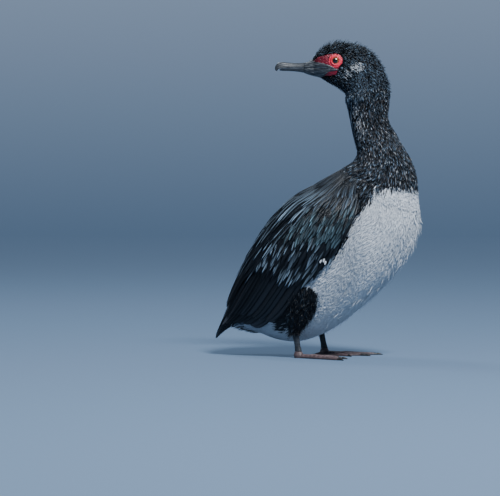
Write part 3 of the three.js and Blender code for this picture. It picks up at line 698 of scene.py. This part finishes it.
def bare_material(name, roughness, cells, depth, mottle):
    """Bare skin or horn: the mesh's marks, mottled, with small scales, so many to the metre."""
    material, nodes, links, shader, colour = new_material(name, roughness)
    place = add_node(nodes, "TexCoord")
    scales = add_node(nodes, "TexVoronoi", Scale=cells)
    scales.feature = "DISTANCE_TO_EDGE"
    noise = add_node(nodes, "TexNoise", Scale=cells * 0.5, Detail=5)
    for texture in (scales, noise):
        links.new(place.outputs["Object"], texture.inputs["Vector"])
    height = math_node(nodes, links, "ADD", scales.outputs["Distance"], noise.outputs["Fac"])
    add_bump(nodes, links, shader, height, 0.6, depth * MM)
    tone = add_node(nodes, "MapRange", From_Min=0.3, From_Max=0.7, To_Min=1 - mottle, To_Max=1 + mottle)
    links.new(noise.outputs["Fac"], tone.inputs["Value"])
    tinted = add_node(nodes, "VectorMath")
    tinted.operation = "SCALE"
    links.new(colour, tinted.inputs[0])
    links.new(tone.outputs["Result"], tinted.inputs["Scale"])
    links.new(tinted.outputs["Vector"], shader.inputs["Base Color"])
    return material


def eye_material():
    """Dark pupil and iris under a clear wet surface."""
    material, _, _, shader, _ = new_material("eye", 0.25)
    shader.inputs["Coat Weight"].default_value = 1.0
    shader.inputs["Coat Roughness"].default_value = 0.02
    return material


PLUMAGE = plumage_material()
RED_SKIN = bare_material("red skin", 0.38, 900, 0.5, 0.45)
BILL_HORN = bare_material("bill horn", 0.36, 500, 0.15, 0.35)
SHANK_SKIN = bare_material("shank skin", 0.45, 420, 0.5, 0.4)
FOOT_SKIN = bare_material("foot skin", 0.5, 420, 0.5, 0.3)
EYE_GLOSS = eye_material()


# Markings


def inside(outline, x, z):
    """True where the points lie within a closed outline."""
    hit = np.zeros(np.shape(x), dtype=bool)
    for (x0, z0), (x1, z1) in zip(outline, outline[1:] + outline[:1]):
        crosses = (z0 > z) != (z1 > z)
        hit ^= crosses & (x < (x1 - x0) * (z - z0) / (z1 - z0 + 1e-9) + x0)
    return hit


def spot(x, z, centre, size):
    """1 at the centre of an ellipse, falling to 0 at its edge."""
    return np.clip(1 - ((x - centre[0]) / size[0]) ** 2 - ((z - centre[1]) / size[1]) ** 2, 0, 1)


def head_white(points):
    """How likely a feather is to be white: in the ear patch, behind the mouth and down the throat."""
    x, _, z = head_place(points)
    spots = sum(most * spot(x, z, centre, size) ** power for centre, size, most, power in WHITE_SPOTS)
    return np.clip(spots + STRAY_WHITE[1] * (z < STRAY_WHITE[0]), 0, 1)


def body_white(points, s, degrees):
    """How white the body is: in front of the flank's border, below the wings and under the tail."""
    x, z = points[..., 0], points[..., 2]
    front = np.maximum((x - np.interp(z, *FLANK_BORDER)) / 6, (degrees - 132) / 8)
    front = np.minimum(front, (WHITE_TOP - z) / 3)
    behind = (degrees - np.interp(s, *WING_EDGE)) / 6
    share = np.where(x > THIGH_BACK_X, front, behind)
    tail = np.interp(s, [8.3, 9], [0, 1])
    return np.clip(share + 0.5, 0, 1) * (1 - tail)


def two_tone(share, light, dark):
    return column(share) * np.asarray(light) + column(1 - share) * np.asarray(dark)


# Skin


def make_skin():
    """One skin over torso, neck, head and thighs, without seams, drawn in under the coat."""
    around = np.arange(0, 360, 7.5)
    lofts = [(body_surface(1), np.linspace(0, TORSO_END, 60)), (neck_surface, np.linspace(0, NECK_END, 110))]
    lofts += [(thigh_surface(*ends), np.linspace(0, 1, 20)) for ends in THIGHS.values()]
    pieces = []
    for surface, stations in lofts:
        grid = surface(stations[:, None], around[None], -SKIN_DEPTH)
        pieces.append(make_mesh("skin_piece", grid.reshape(-1, 3), tube_faces(*grid.shape[:2]), PLUMAGE))
    skin = pieces[0]
    skin.name = "skin"
    select_only(*pieces)
    bpy.ops.object.join()
    apply_modifiers(skin, [
        ("REMESH", {"mode": "VOXEL", "voxel_size": SKIN_VOXEL * MM}),
        ("SMOOTH", {"factor": 0.7, "iterations": 8}),
    ])
    dress(skin.data, PLUMAGE)
    add_colours(skin.data, skin_marks(corner_points(skin.data)))
    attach(skin, "root")
    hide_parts("torso", "neck", "head", "thigh_left", "thigh_right")


def skin_marks(points):
    """The coat's markings on the skin's own corners, in the shade of the feathers over them."""
    stations = np.linspace(0, 11, 221)
    back, keel = spline(BACK_ROWS, stations)[:, :2], spline(KEEL_ROWS, stations)[:, :2]
    middle, way = (back + keel) / 2, (back - keel) / 2
    deep = np.linalg.norm(way, axis=1)
    crossing = np.stack([-way[:, 1], way[:, 0]], axis=1) / column(deep)
    flat = points[:, [0, 2]]
    nearest = np.abs(flat @ crossing.T - np.einsum("kc,kc->k", middle, crossing)).argmin(axis=1)
    up = np.einsum("pc,pc->p", flat - middle[nearest], way[nearest]) / deep[nearest] ** 2
    degrees = np.degrees(np.arccos(np.clip(up, -1, 1)))
    white = body_white(points, stations[nearest], degrees)
    return two_tone(white, np.array(WHITE) * 0.7, NECK_BLACK)


# Coat: head and neck


def neck_colours(points, glint_share, pale):
    """Base and tip colours for head and neck feathers: dark, some with a painted glint on the tip, some
    white.
    """
    count = len(points)
    white = chosen(count, head_white(points))
    base = varied(NECK_BLACK, count, 0.35)
    tips = np.where(chosen(count, glint_share), varied(pale, count, 0.5), base * 1.4)
    light = varied(np.array(WHITE) * 0.85, count, 0.2)
    return np.where(white, light * 0.35, base), np.where(white, light, tips)


def head_coat():
    coat = Coat("coat_head", neck_surface, ((0, -180), (9.2, 180)))
    u, v = rows_over(coat, (0.1, 9.1), (-180, 180), *HEAD_PITCH)
    x, side, z = head_place(neck_surface(u, v, 0))
    bare = inside(FACE_OUTLINE, x, z) & (np.abs(side) > 7)
    keep = ~(bare | (np.hypot(x - EYE[0], z - EYE[2]) < LID_OUTSIDE - 0.7))
    u, v = u[keep], v[keep]
    count = len(u)
    base, tips = neck_colours(neck_surface(u, v, 0), np.interp(u, *HEAD_GLINTS), GLINT)
    stand = np.clip(1 - np.abs(v) / CROWN_SPREAD, 0, 1) ** 0.6 * np.interp(u, *CROWN_STAND)
    face = np.interp(u, *FACE_SHORT)
    length = 4.6 + 2.4 * (1 - face) + RNG.normal(0, 0.6, count) + 3.2 * stand * RNG.uniform(0.4, 1.3, count)
    throat = np.clip((np.abs(v) - 135) / 30, 0, 1) * np.interp(u, *THROAT_LOOSE)
    rise = 0.4 + 1.2 * RNG.uniform(0, 1, count) ** 3 + stand * RNG.uniform(1.0, 5.0, count)
    rise = rise + 3.6 * throat * RNG.uniform(0, 1, count) ** 2
    tip_place = coat.reach(u, v, length * (1 - 0.3 * stand), RNG.normal(0, 13 + 6 * stand, count))
    width = (1.0 + 0.3 * (1 - face)) * RNG.uniform(0.75, 1.2, count) * (1 - 0.2 * stand)
    coat.add(TUFT, (u, v), tip_place, width, (HEAD_ROOT, rise * 0.42 - 0.3, rise), base, tips, thick=0.45)
    crest_locks(coat)
    coat.build(PLUMAGE)


def crest_locks(coat):
    """Longer tapered locks that stand up out of the crown and, lower, out of the nape."""
    u = RNG.uniform(0.8, 9.0, CREST_LOCKS)
    v = RNG.normal(0, CREST_SPREAD, CREST_LOCKS)
    base, tips = neck_colours(neck_surface(u, v, 0), 0.3, GLINT)
    tall = np.interp(u, *LOCK_HEIGHT) * RNG.uniform(0.6, 1.1, CREST_LOCKS)
    tip_place = coat.reach(u, v, LOCK_LENGTH * tall, RNG.normal(0, 17, CREST_LOCKS))
    width = RNG.uniform(1.2, 2.0, CREST_LOCKS)
    middle, high = (height * tall for height in LOCK_LIFT)
    coat.add(TUFT, (u, v), tip_place, width, (HEAD_ROOT, middle, high), base, tips, thick=0.6)


def neck_coats():
    for name, (low, high) in NECK_PIECES.items():
        coat = Coat(name, lower_neck_surface, ((low, -180), (high, 180)))
        u, v = rows_over(coat, (low, high), (-180, 180), *NECK_PITCH)
        points = lower_neck_surface(u, v, 0)
        count = len(u)
        base, tips = neck_colours(points, 0.4, np.where(chosen(count, 0.35), WARM_GLINT, GLINT))
        white = column((points[:, 2] < RNG.normal(WHITE_TOP, 3.2, count)) & (points[:, 0] > NECK_WHITE_X)) > 0
        light = varied(WHITE, count, 0.05)
        base, tips = np.where(white, light * 0.9, base), np.where(white, light, tips)
        length = np.interp(u, *NECK_LENGTH) + RNG.normal(0, 0.9, count)
        width = np.interp(u, *NECK_WIDTH) * RNG.uniform(0.7, 1.2, count)
        rise = 0.3 + 1.9 * RNG.uniform(0, 1, count) ** 3
        tip_place = coat.reach(u, v, length, RNG.normal(0, 11, count) + 8 * wave(u, v, 0.35, 11))
        coat.add(TUFT, (u, v), tip_place, width, (HEAD_ROOT, -0.2, rise), base, tips, thick=0.45)
        coat.build(PLUMAGE)


# Coat: breast, belly, back and thighs


def belly_colours(u, v, points):
    count = len(u)
    noisy = points + RNG.normal(0, 2.2, points.shape)
    white = chosen(count, body_white(noisy, u, v + RNG.normal(0, 2.5, count)))
    # the white darkens to painted shade towards the vent
    pale = mix(np.array(WHITE), np.array(VENT_SHADE), column(np.interp(u, *BELLY_SHADE)))
    # each tuft's tone differs a little at random, and the white darkens in soft waves as painted shade
    # between clumps
    tone = np.exp(column(RNG.normal(0, 0.025, count) + 0.05 * wave(u, v, 0.45, 7)))
    dark = varied(BLACK, count, 0.3)
    return np.where(white, pale * tone * 0.93, dark), np.where(white, pale * tone, dark * 1.6)


def belly_coats():
    """White silky plumage below the wings and dark plumage round the thighs, in two pieces a side."""
    for word, side in WING_SIDES.items():
        for part, (low, high) in BELLY_PIECES.items():
            coat = Coat(f"coat_{part}_{word}", body_surface(side), ((low, 70), (high, 181)))
            u, v = rows_over(coat, (low, high), BELLY_SPAN, *BELLY_PITCH)
            count = len(u)
            base, tips = belly_colours(u, v, coat.surface(u, v, 0))
            soft = wave(u, v, 0.4, 8)
            length = np.interp(u, *BELLY_LENGTH) * RNG.uniform(0.8, 1.15, count)
            rise = 0.1 + 0.35 * np.clip(soft, 0, 1) + 1.2 * RNG.uniform(0, 1, count) ** 10
            tip_place = coat.reach(u, v, length, 15 * soft + RNG.normal(0, 4, count))
            width = RNG.uniform(1.3, 2.3, count)
            coat.add(FLUFF, (u, v), tip_place, width, (-1.1, -0.4, rise), base, tips, thick=0.09)
            front = np.clip(1 - np.abs(v - 172) / 26, 0, 1) * (u > 0.25) * (u < 5.5)
            loose = RNG.uniform(size=count) < LOOSE_SHARE * front
            if loose.any():
                u, v, base, tips = u[loose], v[loose], base[loose], tips[loose]
                count = len(u)
                tip_place = coat.reach(u, v, RNG.uniform(13, 20, count), RNG.normal(0, 12, count))
                lift = (-1.0, 1.0, RNG.uniform(2, 5, count))
                coat.add(FLUFF, (u, v), tip_place, RNG.uniform(1.4, 2.4, count), lift, base, tips, thick=0.4)
            coat.build(PLUMAGE)


def mantle_coats():
    """Short dark feathers over the shoulders and down the back, under the long ones of the wings."""
    for word, side in WING_SIDES.items():
        coat = Coat(f"coat_mantle_{word}", body_surface(side), ((0, -1), (9, 100)))
        u, v = rows_over(coat, (0.0, 8.6), (-1, 96), *MANTLE_PITCH)
        count = len(u)
        base = varied(BLACK, count, 0.35)
        tips = np.where(chosen(count, 0.3), varied(GLINT, count, 0.5), base * 1.6)
        length = np.interp(u, *MANTLE_LENGTH) * RNG.uniform(0.8, 1.2, count)
        lift = (-1.0, 0.8, 1.2 + 1.6 * RNG.uniform(0, 1, count) ** 2)
        tip_place = coat.reach(u, v, length, RNG.normal(0, 8, count))
        width = RNG.uniform(3.2, 5.2, count)
        coat.add(FLUFF, (u, v), tip_place, width, lift, base, tips, thick=0.4, ragged=0.12, rim=0.7)
        coat.build(PLUMAGE)


def thigh_coats():
    """Loose dark plumage round each thigh, with longer tufts down its front."""
    for word, ends in THIGHS.items():
        coat = Coat(f"coat_thigh_{word}", thigh_surface(*ends), ((0, 0), (1.15, 360)))
        u, v = rows_over(coat, (0.12, 0.99), (0, 360), *THIGH_PITCH)
        count = len(u)
        base = varied(BLACK, count, 0.35)
        tips = np.where(chosen(count, 0.1), varied(GLINT, count, 0.4) * 0.5, base * 1.5)
        length = np.interp(u, *THIGH_LENGTH) * RNG.uniform(0.6, 1.3, count)
        fore = np.clip(np.cos(np.radians(v)), 0, 1)
        lift = (-1.6, 0.6, 0.6 + (5.5 + 5 * fore) * RNG.uniform(0, 1, count) ** 2.5)
        tip_place = coat.reach(u, v, length, RNG.normal(0, 17, count))
        coat.add(FLUFF, (u, v), tip_place, RNG.uniform(1.2, 2.4, count), lift, base, tips, thick=0.45)
        count = THIGH_FRINGE
        u, v = RNG.uniform(0.15, 0.85, count), RNG.uniform(-55, 55, count)
        base = varied(BLACK, count, 0.3)
        tip_place = coat.reach(u, v, RNG.uniform(14, 22, count), RNG.normal(0, 15, count))
        lift = (-1.5, 1.5, RNG.uniform(4, 9, count))
        coat.add(FLUFF, (u, v), tip_place, RNG.uniform(2.0, 3.2, count), lift, base, base * 1.5, thick=0.5)
        coat.build(PLUMAGE)


# Coat: wings and tail


# Feather shape, count, root places of the lowest and uppermost feather as station and degrees, their tip
# places, width, height above the body at root and tip, tip colour, and share of feathers that show it;
# the tip colour is a painted glint, on some rows a painted teal sheen, and on the flight feathers their own
# bronze
WING_ROWS = {
    "primaries": ("long", 9, (5.2, 96), (6.0, 60), (8.2, 111), (9.65, 56), 13, (1.6, 2.2), BRONZE, 0.4),
    "secondaries": ("long", 15, (3.7, 93), (5.0, 34), (7.0, 110), (9.3, 45), 13, (1.8, 4.6), BRONZE, 0.4),
    "tertials": ("long", 7, (4.4, 44), (4.2, 14), (8.6, 40), (8.5, 15), 14, (2.0, 6.2), BRONZE, 0.5),
    "greater": ("pointed", 24, (3.4, 100), (4.6, 42), (4.9, 106), (6.0, 54), 7.5, (2.0, 5.6), SILVER_GLINT, 0.4),
    "inner greater": ("round", 24, (2.9, 100), (4.0, 44), (4.3, 105), (5.4, 55), 6.5, (2.2, 5.9), GLINT, 0.3),
    "median": ("pointed", 26, (2.3, 99), (3.4, 46), (3.6, 105), (4.7, 57), 6.5, (2.3, 6.0), SILVER_GLINT, 0.35),
    "upper median": ("round", 26, (1.8, 97), (2.9, 48), (2.9, 103), (4.0, 58), 5.8, (2.3, 5.9), TEAL_SHEEN, 0.7),
    "lesser": ("round", 26, (1.4, 95), (2.5, 50), (2.4, 102), (3.5, 58), 5.4, (2.4, 5.9), TEAL_SHEEN, 0.8),
    "mid lesser": ("round", 25, (1.0, 92), (2.1, 50), (2.0, 100), (3.1, 58), 5.2, (2.4, 5.8), TEAL_SHEEN, 0.8),
    "upper lesser": ("round", 24, (0.7, 88), (1.7, 50), (1.6, 97), (2.6, 58), 5.2, (2.3, 5.5), TEAL_SHEEN, 0.5),
    "marginal": ("pointed", 22, (0.45, 82), (1.2, 50), (1.3, 92), (2.1, 58), 5.2, (2.1, 5.1), GLINT, 0.5),
    "shoulder": ("pointed", 20, (0.1, 70), (0.7, 48), (0.8, 84), (1.5, 57), 5.2, (1.6, 4.2), GLINT, 0.5),
    "end scapulars": ("pointed", 15, (3.8, 50), (3.7, 11), (6.8, 52), (6.8, 12), 7.5, (2.3, 6.7), GLINT, 0.3),
    "low scapulars": ("pointed", 15, (2.9, 52), (2.8, 11), (5.4, 56), (5.4, 12), 7, (2.3, 6.8), SILVER_GLINT, 0.35),
    "scapulars": ("pointed", 16, (2.1, 54), (2.0, 10), (4.3, 59), (4.3, 12), 6.5, (2.3, 6.8), SILVER_GLINT, 0.45),
    "top scapulars": ("pointed", 17, (1.3, 54), (1.2, 10), (3.3, 60), (3.3, 12), 6, (2.2, 6.6), SILVER_GLINT, 0.5),
    "mantle": ("pointed", 17, (0.6, 54), (0.5, 9), (2.4, 60), (2.3, 11), 5.6, (2.0, 6.2), SILVER_GLINT, 0.45),
    "upper mantle": ("pointed", 17, (0.1, 52), (0.05, 9), (1.5, 58), (1.5, 11), 5.4, (1.0, 5.2), GLINT, 0.5),
}


def wing_row(coat, side, shape, count, root0, root1, tip0, tip1, width, lift, tip_tone, bright):
    """One row of vanes from the lowest to the uppermost, the small ones twice over and shorter above."""
    is_long = shape == "long"
    for layer in range(1 if is_long else 2):
        t = (np.arange(count) + 0.5 * layer) / (count - 1)
        t = np.clip(t + RNG.uniform(-0.3, 0.3, count) / count, 0, 1)
        u, v = mix(root0[0], root1[0], t), mix(root0[1], root1[1], t)
        reach = 1 if is_long else 0.95 - 0.2 * layer + RNG.normal(0, 0.06, count)
        tip_u = mix(u, mix(tip0[0], tip1[0], t), reach) + RNG.normal(0, 0.04, count)
        tip_v = mix(v, mix(tip0[1], tip1[1], t), reach) + RNG.normal(0, 0.8 if is_long else 1.8, count)
        base = varied(BLACK, count, 0.25)
        # painted glints and painted sheen on a share of the tips; the flight feathers' bronze is their own
        tips = np.where(chosen(count, bright), varied(tip_tone, count, 0.45), base * 1.8)
        raised = lift[1] + 0.35 * layer + RNG.uniform(-0.3, 0.3 if is_long else 1.0, count)
        coat.add(VANES[shape], (u, v), (tip_u, np.maximum(tip_v, 4)), width * RNG.uniform(0.82, 1.12, count),
                 (lift[0], mix(lift[0], raised, 0.66), raised), base, tips, roll=-side * VANE_ROLL, thick=0.5,
                 ragged=0.05 if is_long else 0.15, rim=0.85)


def wing_coats():
    for word, side in WING_SIDES.items():
        coat = Coat(f"coat_wing_{word}", body_surface(side), ((0, 0), (10, 125)))
        for row in WING_ROWS.values():
            wing_row(coat, side, *row)
        if word == "right":
            u, v = PALE_FLECK[0] + np.array([0, 0.06, 0.1]), PALE_FLECK[1] + np.array([0, 2.5, -1.5])
            coat.add(POINTED_VANE, (u, v), (u + 0.17, v + 2), 3.4, (6, 6.6, 7), np.array(WHITE) * 0.8, WHITE)
        wing = coat.build(PLUMAGE)
        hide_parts(f"wing_{word}")


def tail_coats():
    """Graduated tail feathers, the middle pair uppermost, with short coverts over their roots."""
    i = np.arange(TAIL_FEATHERS)
    for word, side in WING_SIDES.items():
        coat = Coat(f"coat_tail_{word}", body_surface(side), ((7, -12), (11.2, 60)))
        base = varied(BLACK, len(i), 0.2)
        roots, ends = (7.9 + 0 * i, 3 + 4.6 * i), (10.95 - 0.16 * i, 4 + 6.6 * i)
        lift = (1.1, 1.8 - 0.1 * i, 2.2 - 0.2 * i)
        coat.add(LONG_VANE, roots, ends, 13.5, lift, base, base * 1.5, roll=-side * TAIL_ROLL, ragged=0.05,
                 thick=0.5)
        u, v = rows_over(coat, (7.0, 8.5), (2, 44), 6, 6)
        count = len(u)
        base = varied(BLACK, count, 0.3)
        tip_place = coat.reach(u, v, RNG.uniform(18, 26, count), RNG.normal(0, 5, count))
        width = RNG.uniform(6, 8, count)
        lift = (0.4, 1.8, 2.8)
        coat.add(POINTED_VANE, (u, v), tip_place, width, lift, base, base * 2, thick=0.4, ragged=0.1, rim=0.7)
        tail = coat.build(PLUMAGE)
        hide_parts("tail")


# Face and bill


def make_eyes():
    """Eyeballs with pupil and iris round the way each looks."""
    for word, side in WING_SIDES.items():
        bpy.ops.mesh.primitive_uv_sphere_add(segments=96, ring_count=64, radius=EYE_RADIUS * MM)
        eye = bpy.context.object
        eye.name = f"eyeball_{word}"
        centre = from_head(EYE[0], side * EYE[1], EYE[2])
        eye.location = Vector(to_scene(centre))
        bpy.ops.object.transform_apply(location=True, rotation=True, scale=True)
        look = from_head(0.12, side, 0.03) - from_head(0, 0, 0)
        look /= np.linalg.norm(look)
        points = corner_points(eye.data) - centre
        away = column(np.linalg.norm(np.cross(points, look), axis=1))
        marks = mix(np.array(IRIS), np.array(IRIS_RIM), np.clip((away - IRIS_RADIUS + 0.9) / 0.6, 0, 1))
        marks = np.where(away < PUPIL_RADIUS, PUPIL, marks)
        # beyond the iris the eyeball carries the lids' painted shadow
        marks = np.where(away > IRIS_RADIUS, LID_SHADOW, marks)
        add_colours(eye.data, marks)
        dress(eye.data, EYE_GLOSS)
        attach(eye, "root")
        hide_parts(f"eye_{word}")


def refined_copy(node, name, material, marks, voxel, rounds, bumps, slot):
    """A finer copy of a CAD node that takes its place, with real bumps of a pitch and height on it."""
    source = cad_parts[node]
    copy = source.copy()
    copy.data = source.data.copy()
    copy.name = name
    copy.parent = None
    copy.matrix_world = source.matrix_world.copy()
    bpy.context.scene.collection.objects.link(copy)
    select_only(copy)
    bpy.ops.object.transform_apply(location=True, rotation=True, scale=True)
    texture = bpy.data.textures.new(name, type="CLOUDS")
    texture.noise_scale = bumps[0] * MM
    rough = {"texture": texture, "strength": bumps[1] * MM, "mid_level": 0.5, "texture_coords": "GLOBAL"}
    apply_modifiers(copy, [
        ("REMESH", {"mode": "VOXEL", "voxel_size": voxel * MM}),
        ("SMOOTH", {"factor": 0.6, "iterations": rounds}),
        ("DISPLACE", rough),
    ])
    dress(copy.data, material)
    add_colours(copy.data, marks(corner_points(copy.data)))
    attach(copy, "root")
    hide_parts(node)


def face_marks(points):
    """Bright red ring round the eye, darker skin in front of it and at the corner of the mouth."""
    x, _, z = head_place(points)
    away = np.hypot(x - EYE[0], z - EYE[2])
    bright = np.clip((LID_OUTSIDE + 1.4 - away) / 2.0, 0, 1)
    deeper = np.clip((x - 62) / 18, 0, 1) * 0.6
    return two_tone(bright, RING_RED, LORE_RED) * column(1 - deeper)


def bill_rows(stations):
    return np.array([(*far, *mouth, half) for far, mouth, half in stations], float)


def bill_points(stations, rings, half_steps):
    """A grid of points round a bill half, with each point's place across it and share of the way up."""
    knots = np.linspace(0, len(BILL_PROFILE) - 1, half_steps)
    half = np.stack([np.interp(knots, range(len(BILL_PROFILE)), values) for values in zip(*BILL_PROFILE)], 1)
    profile = np.concatenate([half, half[-2::-1] * (-1, 1)])
    rows = spline(bill_rows(stations), np.linspace(0, len(stations) - 1, rings))
    across, rise = profile[None, :, 0], profile[None, :, 1]
    forward = mix(rows[:, 2:3], rows[:, 0:1], rise)
    level = mix(rows[:, 3:4], rows[:, 1:2], rise)
    points = from_head(forward, across * rows[:, 4:5], level)
    return points, across + 0 * forward, rise + 0 * forward


def horn_marks(along, across, rise):
    """Dark horn with pale streaks running its length."""
    streak = np.sin(rise * 19 + 2 * np.sin(along / 9)) * np.sin(rise * 43 + across * 3 + along / 6)
    share = np.clip(streak * 1.4 - 0.35, 0, 1) * 0.8
    return two_tone(share, HORN_STREAK, HORN).reshape(-1, 3)


def make_bill():
    for word, stations in (("upper", UPPER_BILL), ("lower", LOWER_BILL)):
        points, across, rise = bill_points(stations, 120, 24)
        marks = horn_marks(head_place(points)[0], across, rise)
        faces = tube_faces(*points.shape[:2])
        bill = make_mesh(f"beak_{word}", points.reshape(-1, 3), faces, BILL_HORN, marks)
        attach(bill, "root")
        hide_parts(f"bill_{word}")


def bill_width(forward, level):
    """Half the closed bill's width at a place seen from the side."""
    shares, rises = np.array(BILL_PROFILE).T
    width = 0 * forward
    for stations in (UPPER_BILL, LOWER_BILL):
        far_x, far_z, mouth_x, mouth_z, half = bill_rows(stations).T
        mouth = np.interp(forward, mouth_x, mouth_z)
        rise = (level - mouth) / (np.interp(forward, far_x, far_z) - mouth)
        here = np.interp(forward, mouth_x, half) * np.interp(rise, rises, shares)
        width = np.where(rise >= 0, here, width)
    return width


def make_gape():
    """The dark horny corner of the mouth, with the line where the halves of the bill meet."""
    t = np.linspace(0, 1, 90)
    k = np.linspace(0, 1, 31)
    forward, upper, lower = spline(GAPE, t * (len(GAPE) - 1)).T
    level = mix(lower[:, None], upper[:, None], k[None])
    forward = forward[:, None] + 0 * level
    ends = np.minimum((1 - t) / 0.08, t / 0.12)[:, None]
    border = np.clip(np.minimum(np.minimum(k, 1 - k)[None] / 0.16, ends), 0, 1)
    mouth = MOUTH_LEVEL[0] + (forward - MOUTH_LEVEL[1]) * MOUTH_LEVEL[2]
    groove = GAPE_GROOVE * np.exp(-(((level - mouth) / 0.55) ** 2)) * border
    streaks = 0.16 * np.sin(level * 4.2 + np.sin(forward / 3))
    onto_bill = np.clip((forward - GAPE_BLEND[0]) / (GAPE_BLEND[1] - GAPE_BLEND[0]), 0, 1)
    onto_bill = onto_bill**2 * (3 - 2 * onto_bill)
    width = mix(head_width(forward, level), bill_width(forward, level) + 0.3, onto_bill)
    out = width + GAPE_RISE * border**0.5 - GAPE_SUNK - groove + streaks
    marks = horn_marks(forward, 0 * level, k[None] + 0 * level)
    for word, side in WING_SIDES.items():
        points = from_head(forward, side * out, level).reshape(-1, 3)
        gape = make_mesh(f"gape_{word}", points, grid_faces(len(t), len(k), False), BILL_HORN, marks)
        apply_modifiers(gape, [("SOLIDIFY", {"thickness": GAPE_THICK * MM, "offset": -side})])
        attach(gape, "root")


# Legs and feet


def foot_marks(points):
    """Dusky flesh, banded across the toes, with dark claws."""
    word = "left" if points[:, 1].mean() > 0 else "right"
    root = np.array(TOE_ROOTS[word])
    claw = np.zeros(len(points))
    for length, degrees in TOES:
        heading = math.radians(degrees) * WING_SIDES[word]
        along = (points[:, :2] - root) @ np.array([math.cos(heading), math.sin(heading)])
        claw = np.maximum(claw, np.clip((along - length * 0.985) / 1.2, 0, 1))
    away = np.linalg.norm(points[:, :2] - root, axis=1)
    toe = column(np.clip((points[:, 2] - 2.2) / 2.5, 0, 1))
    bands = np.exp(0.3 * toe * column(np.sin(away / 1.3)))
    return two_tone(claw, CLAW, (0, 0, 0)) + np.array(FOOT) * (0.72 + 0.28 * toe) * bands * column(1 - claw)


def shank_marks(points):
    return np.array(SHANK) * np.exp(0.3 * np.sin(column(points[:, 2]) / 0.7))


def bare_parts():
    """The red skin, shanks and feet: material, marks, voxel, smoothing, bumps and slot of each."""
    looks = {
        ("facial_skin", "bare_skin"): (RED_SKIN, face_marks, 0.4, 3, (1.4, 0.9), "red_skin"),
        ("shank", "tarsus"): (SHANK_SKIN, shank_marks, 0.5, 3, (2.0, 0.35), "leg_skin"),
        ("foot", "webbed_foot"): (FOOT_SKIN, foot_marks, 0.55, 3, (2.5, 0.25), "leg_skin"),
    }
    for word in WING_SIDES:
        for (node, name), look in looks.items():
            refined_copy(f"{node}_{word}", f"{name}_{word}", *look)


# Surroundings


def make_sweep():
    """A plain floor that curves up into a backdrop far behind the bird, glowing in its own tones as painted
    light.
    """
    profile = [(SWEEP["front"], 0.0)]
    for bend in np.radians(np.linspace(0, 90, 24)):
        depth = SWEEP["back"] + SWEEP["curve"] * math.sin(bend)
        profile.append((depth, SWEEP["curve"] * (1 - math.cos(bend))))
    profile.append((SWEEP["back"] + SWEEP["curve"], SWEEP["height"]))
    verts, tones = [], []
    for depth, height in profile:
        for across in (-SWEEP["half"], SWEEP["half"]):
            place = VIEW_RIGHT * across + VIEW_AWAY * depth + np.array([0, 0, height])
            verts.append(place / MM - SHIFT)
            tones.append(mix(np.array(FLOOR_TONE), np.array(WALL_TONE), min(1, height / SWEEP["curve"])))
    material, _, links, shader, tone = new_material("sweep", 0.9)
    links.new(tone, shader.inputs["Emission Color"])
    shader.inputs["Emission Strength"].default_value = SWEEP_GLOW
    sweep = make_mesh("sweep", np.array(verts), grid_faces(len(profile), 2, False), material, np.array(tones))


def add_area_light(name, place, size, power, colour):
    data = bpy.data.lights.new(name, "AREA")
    data.shape = "DISK"
    data.size = size
    data.energy = power
    data.color = colour
    lamp = bpy.data.objects.new(name, data)
    lamp.location = place
    lamp.rotation_euler = (Vector(LIGHT_AIM) - Vector(place)).to_track_quat("-Z", "Y").to_euler()
    bpy.context.scene.collection.objects.link(lamp)


def make_light():
    world = bpy.data.worlds.new("sky")
    world.use_nodes = True
    background = world.node_tree.nodes["Background"]
    background.inputs["Color"].default_value = (*SKY, 1)
    background.inputs["Strength"].default_value = SKY_GLOW
    bpy.context.scene.world = world
    for name, settings in LIGHTS.items():
        add_area_light(name, *settings)


def make_camera():
    target = to_scene(VIEW_RIGHT * AIM[0] + np.array([0, 0, AIM[1]]))
    back = -VIEW_AWAY * math.cos(CAMERA_ELEVATION) + np.array([0, 0, math.sin(CAMERA_ELEVATION)])
    data = bpy.data.cameras.new("camera")
    data.lens = CAMERA_LENS
    data.sensor_width = SENSOR
    data.clip_end = 100
    camera = bpy.data.objects.new("camera", data)
    camera.location = Vector(target + back * CAMERA_DISTANCE)
    camera.rotation_euler = Vector(-back).to_track_quat("-Z", "Y").to_euler()
    bpy.context.scene.collection.objects.link(camera)
    bpy.context.scene.camera = camera


make_skin()
head_coat()
neck_coats()
belly_coats()
mantle_coats()
thigh_coats()
wing_coats()
tail_coats()
make_eyes()
make_bill()
make_gape()
bare_parts()
make_sweep()
make_light()
make_camera()
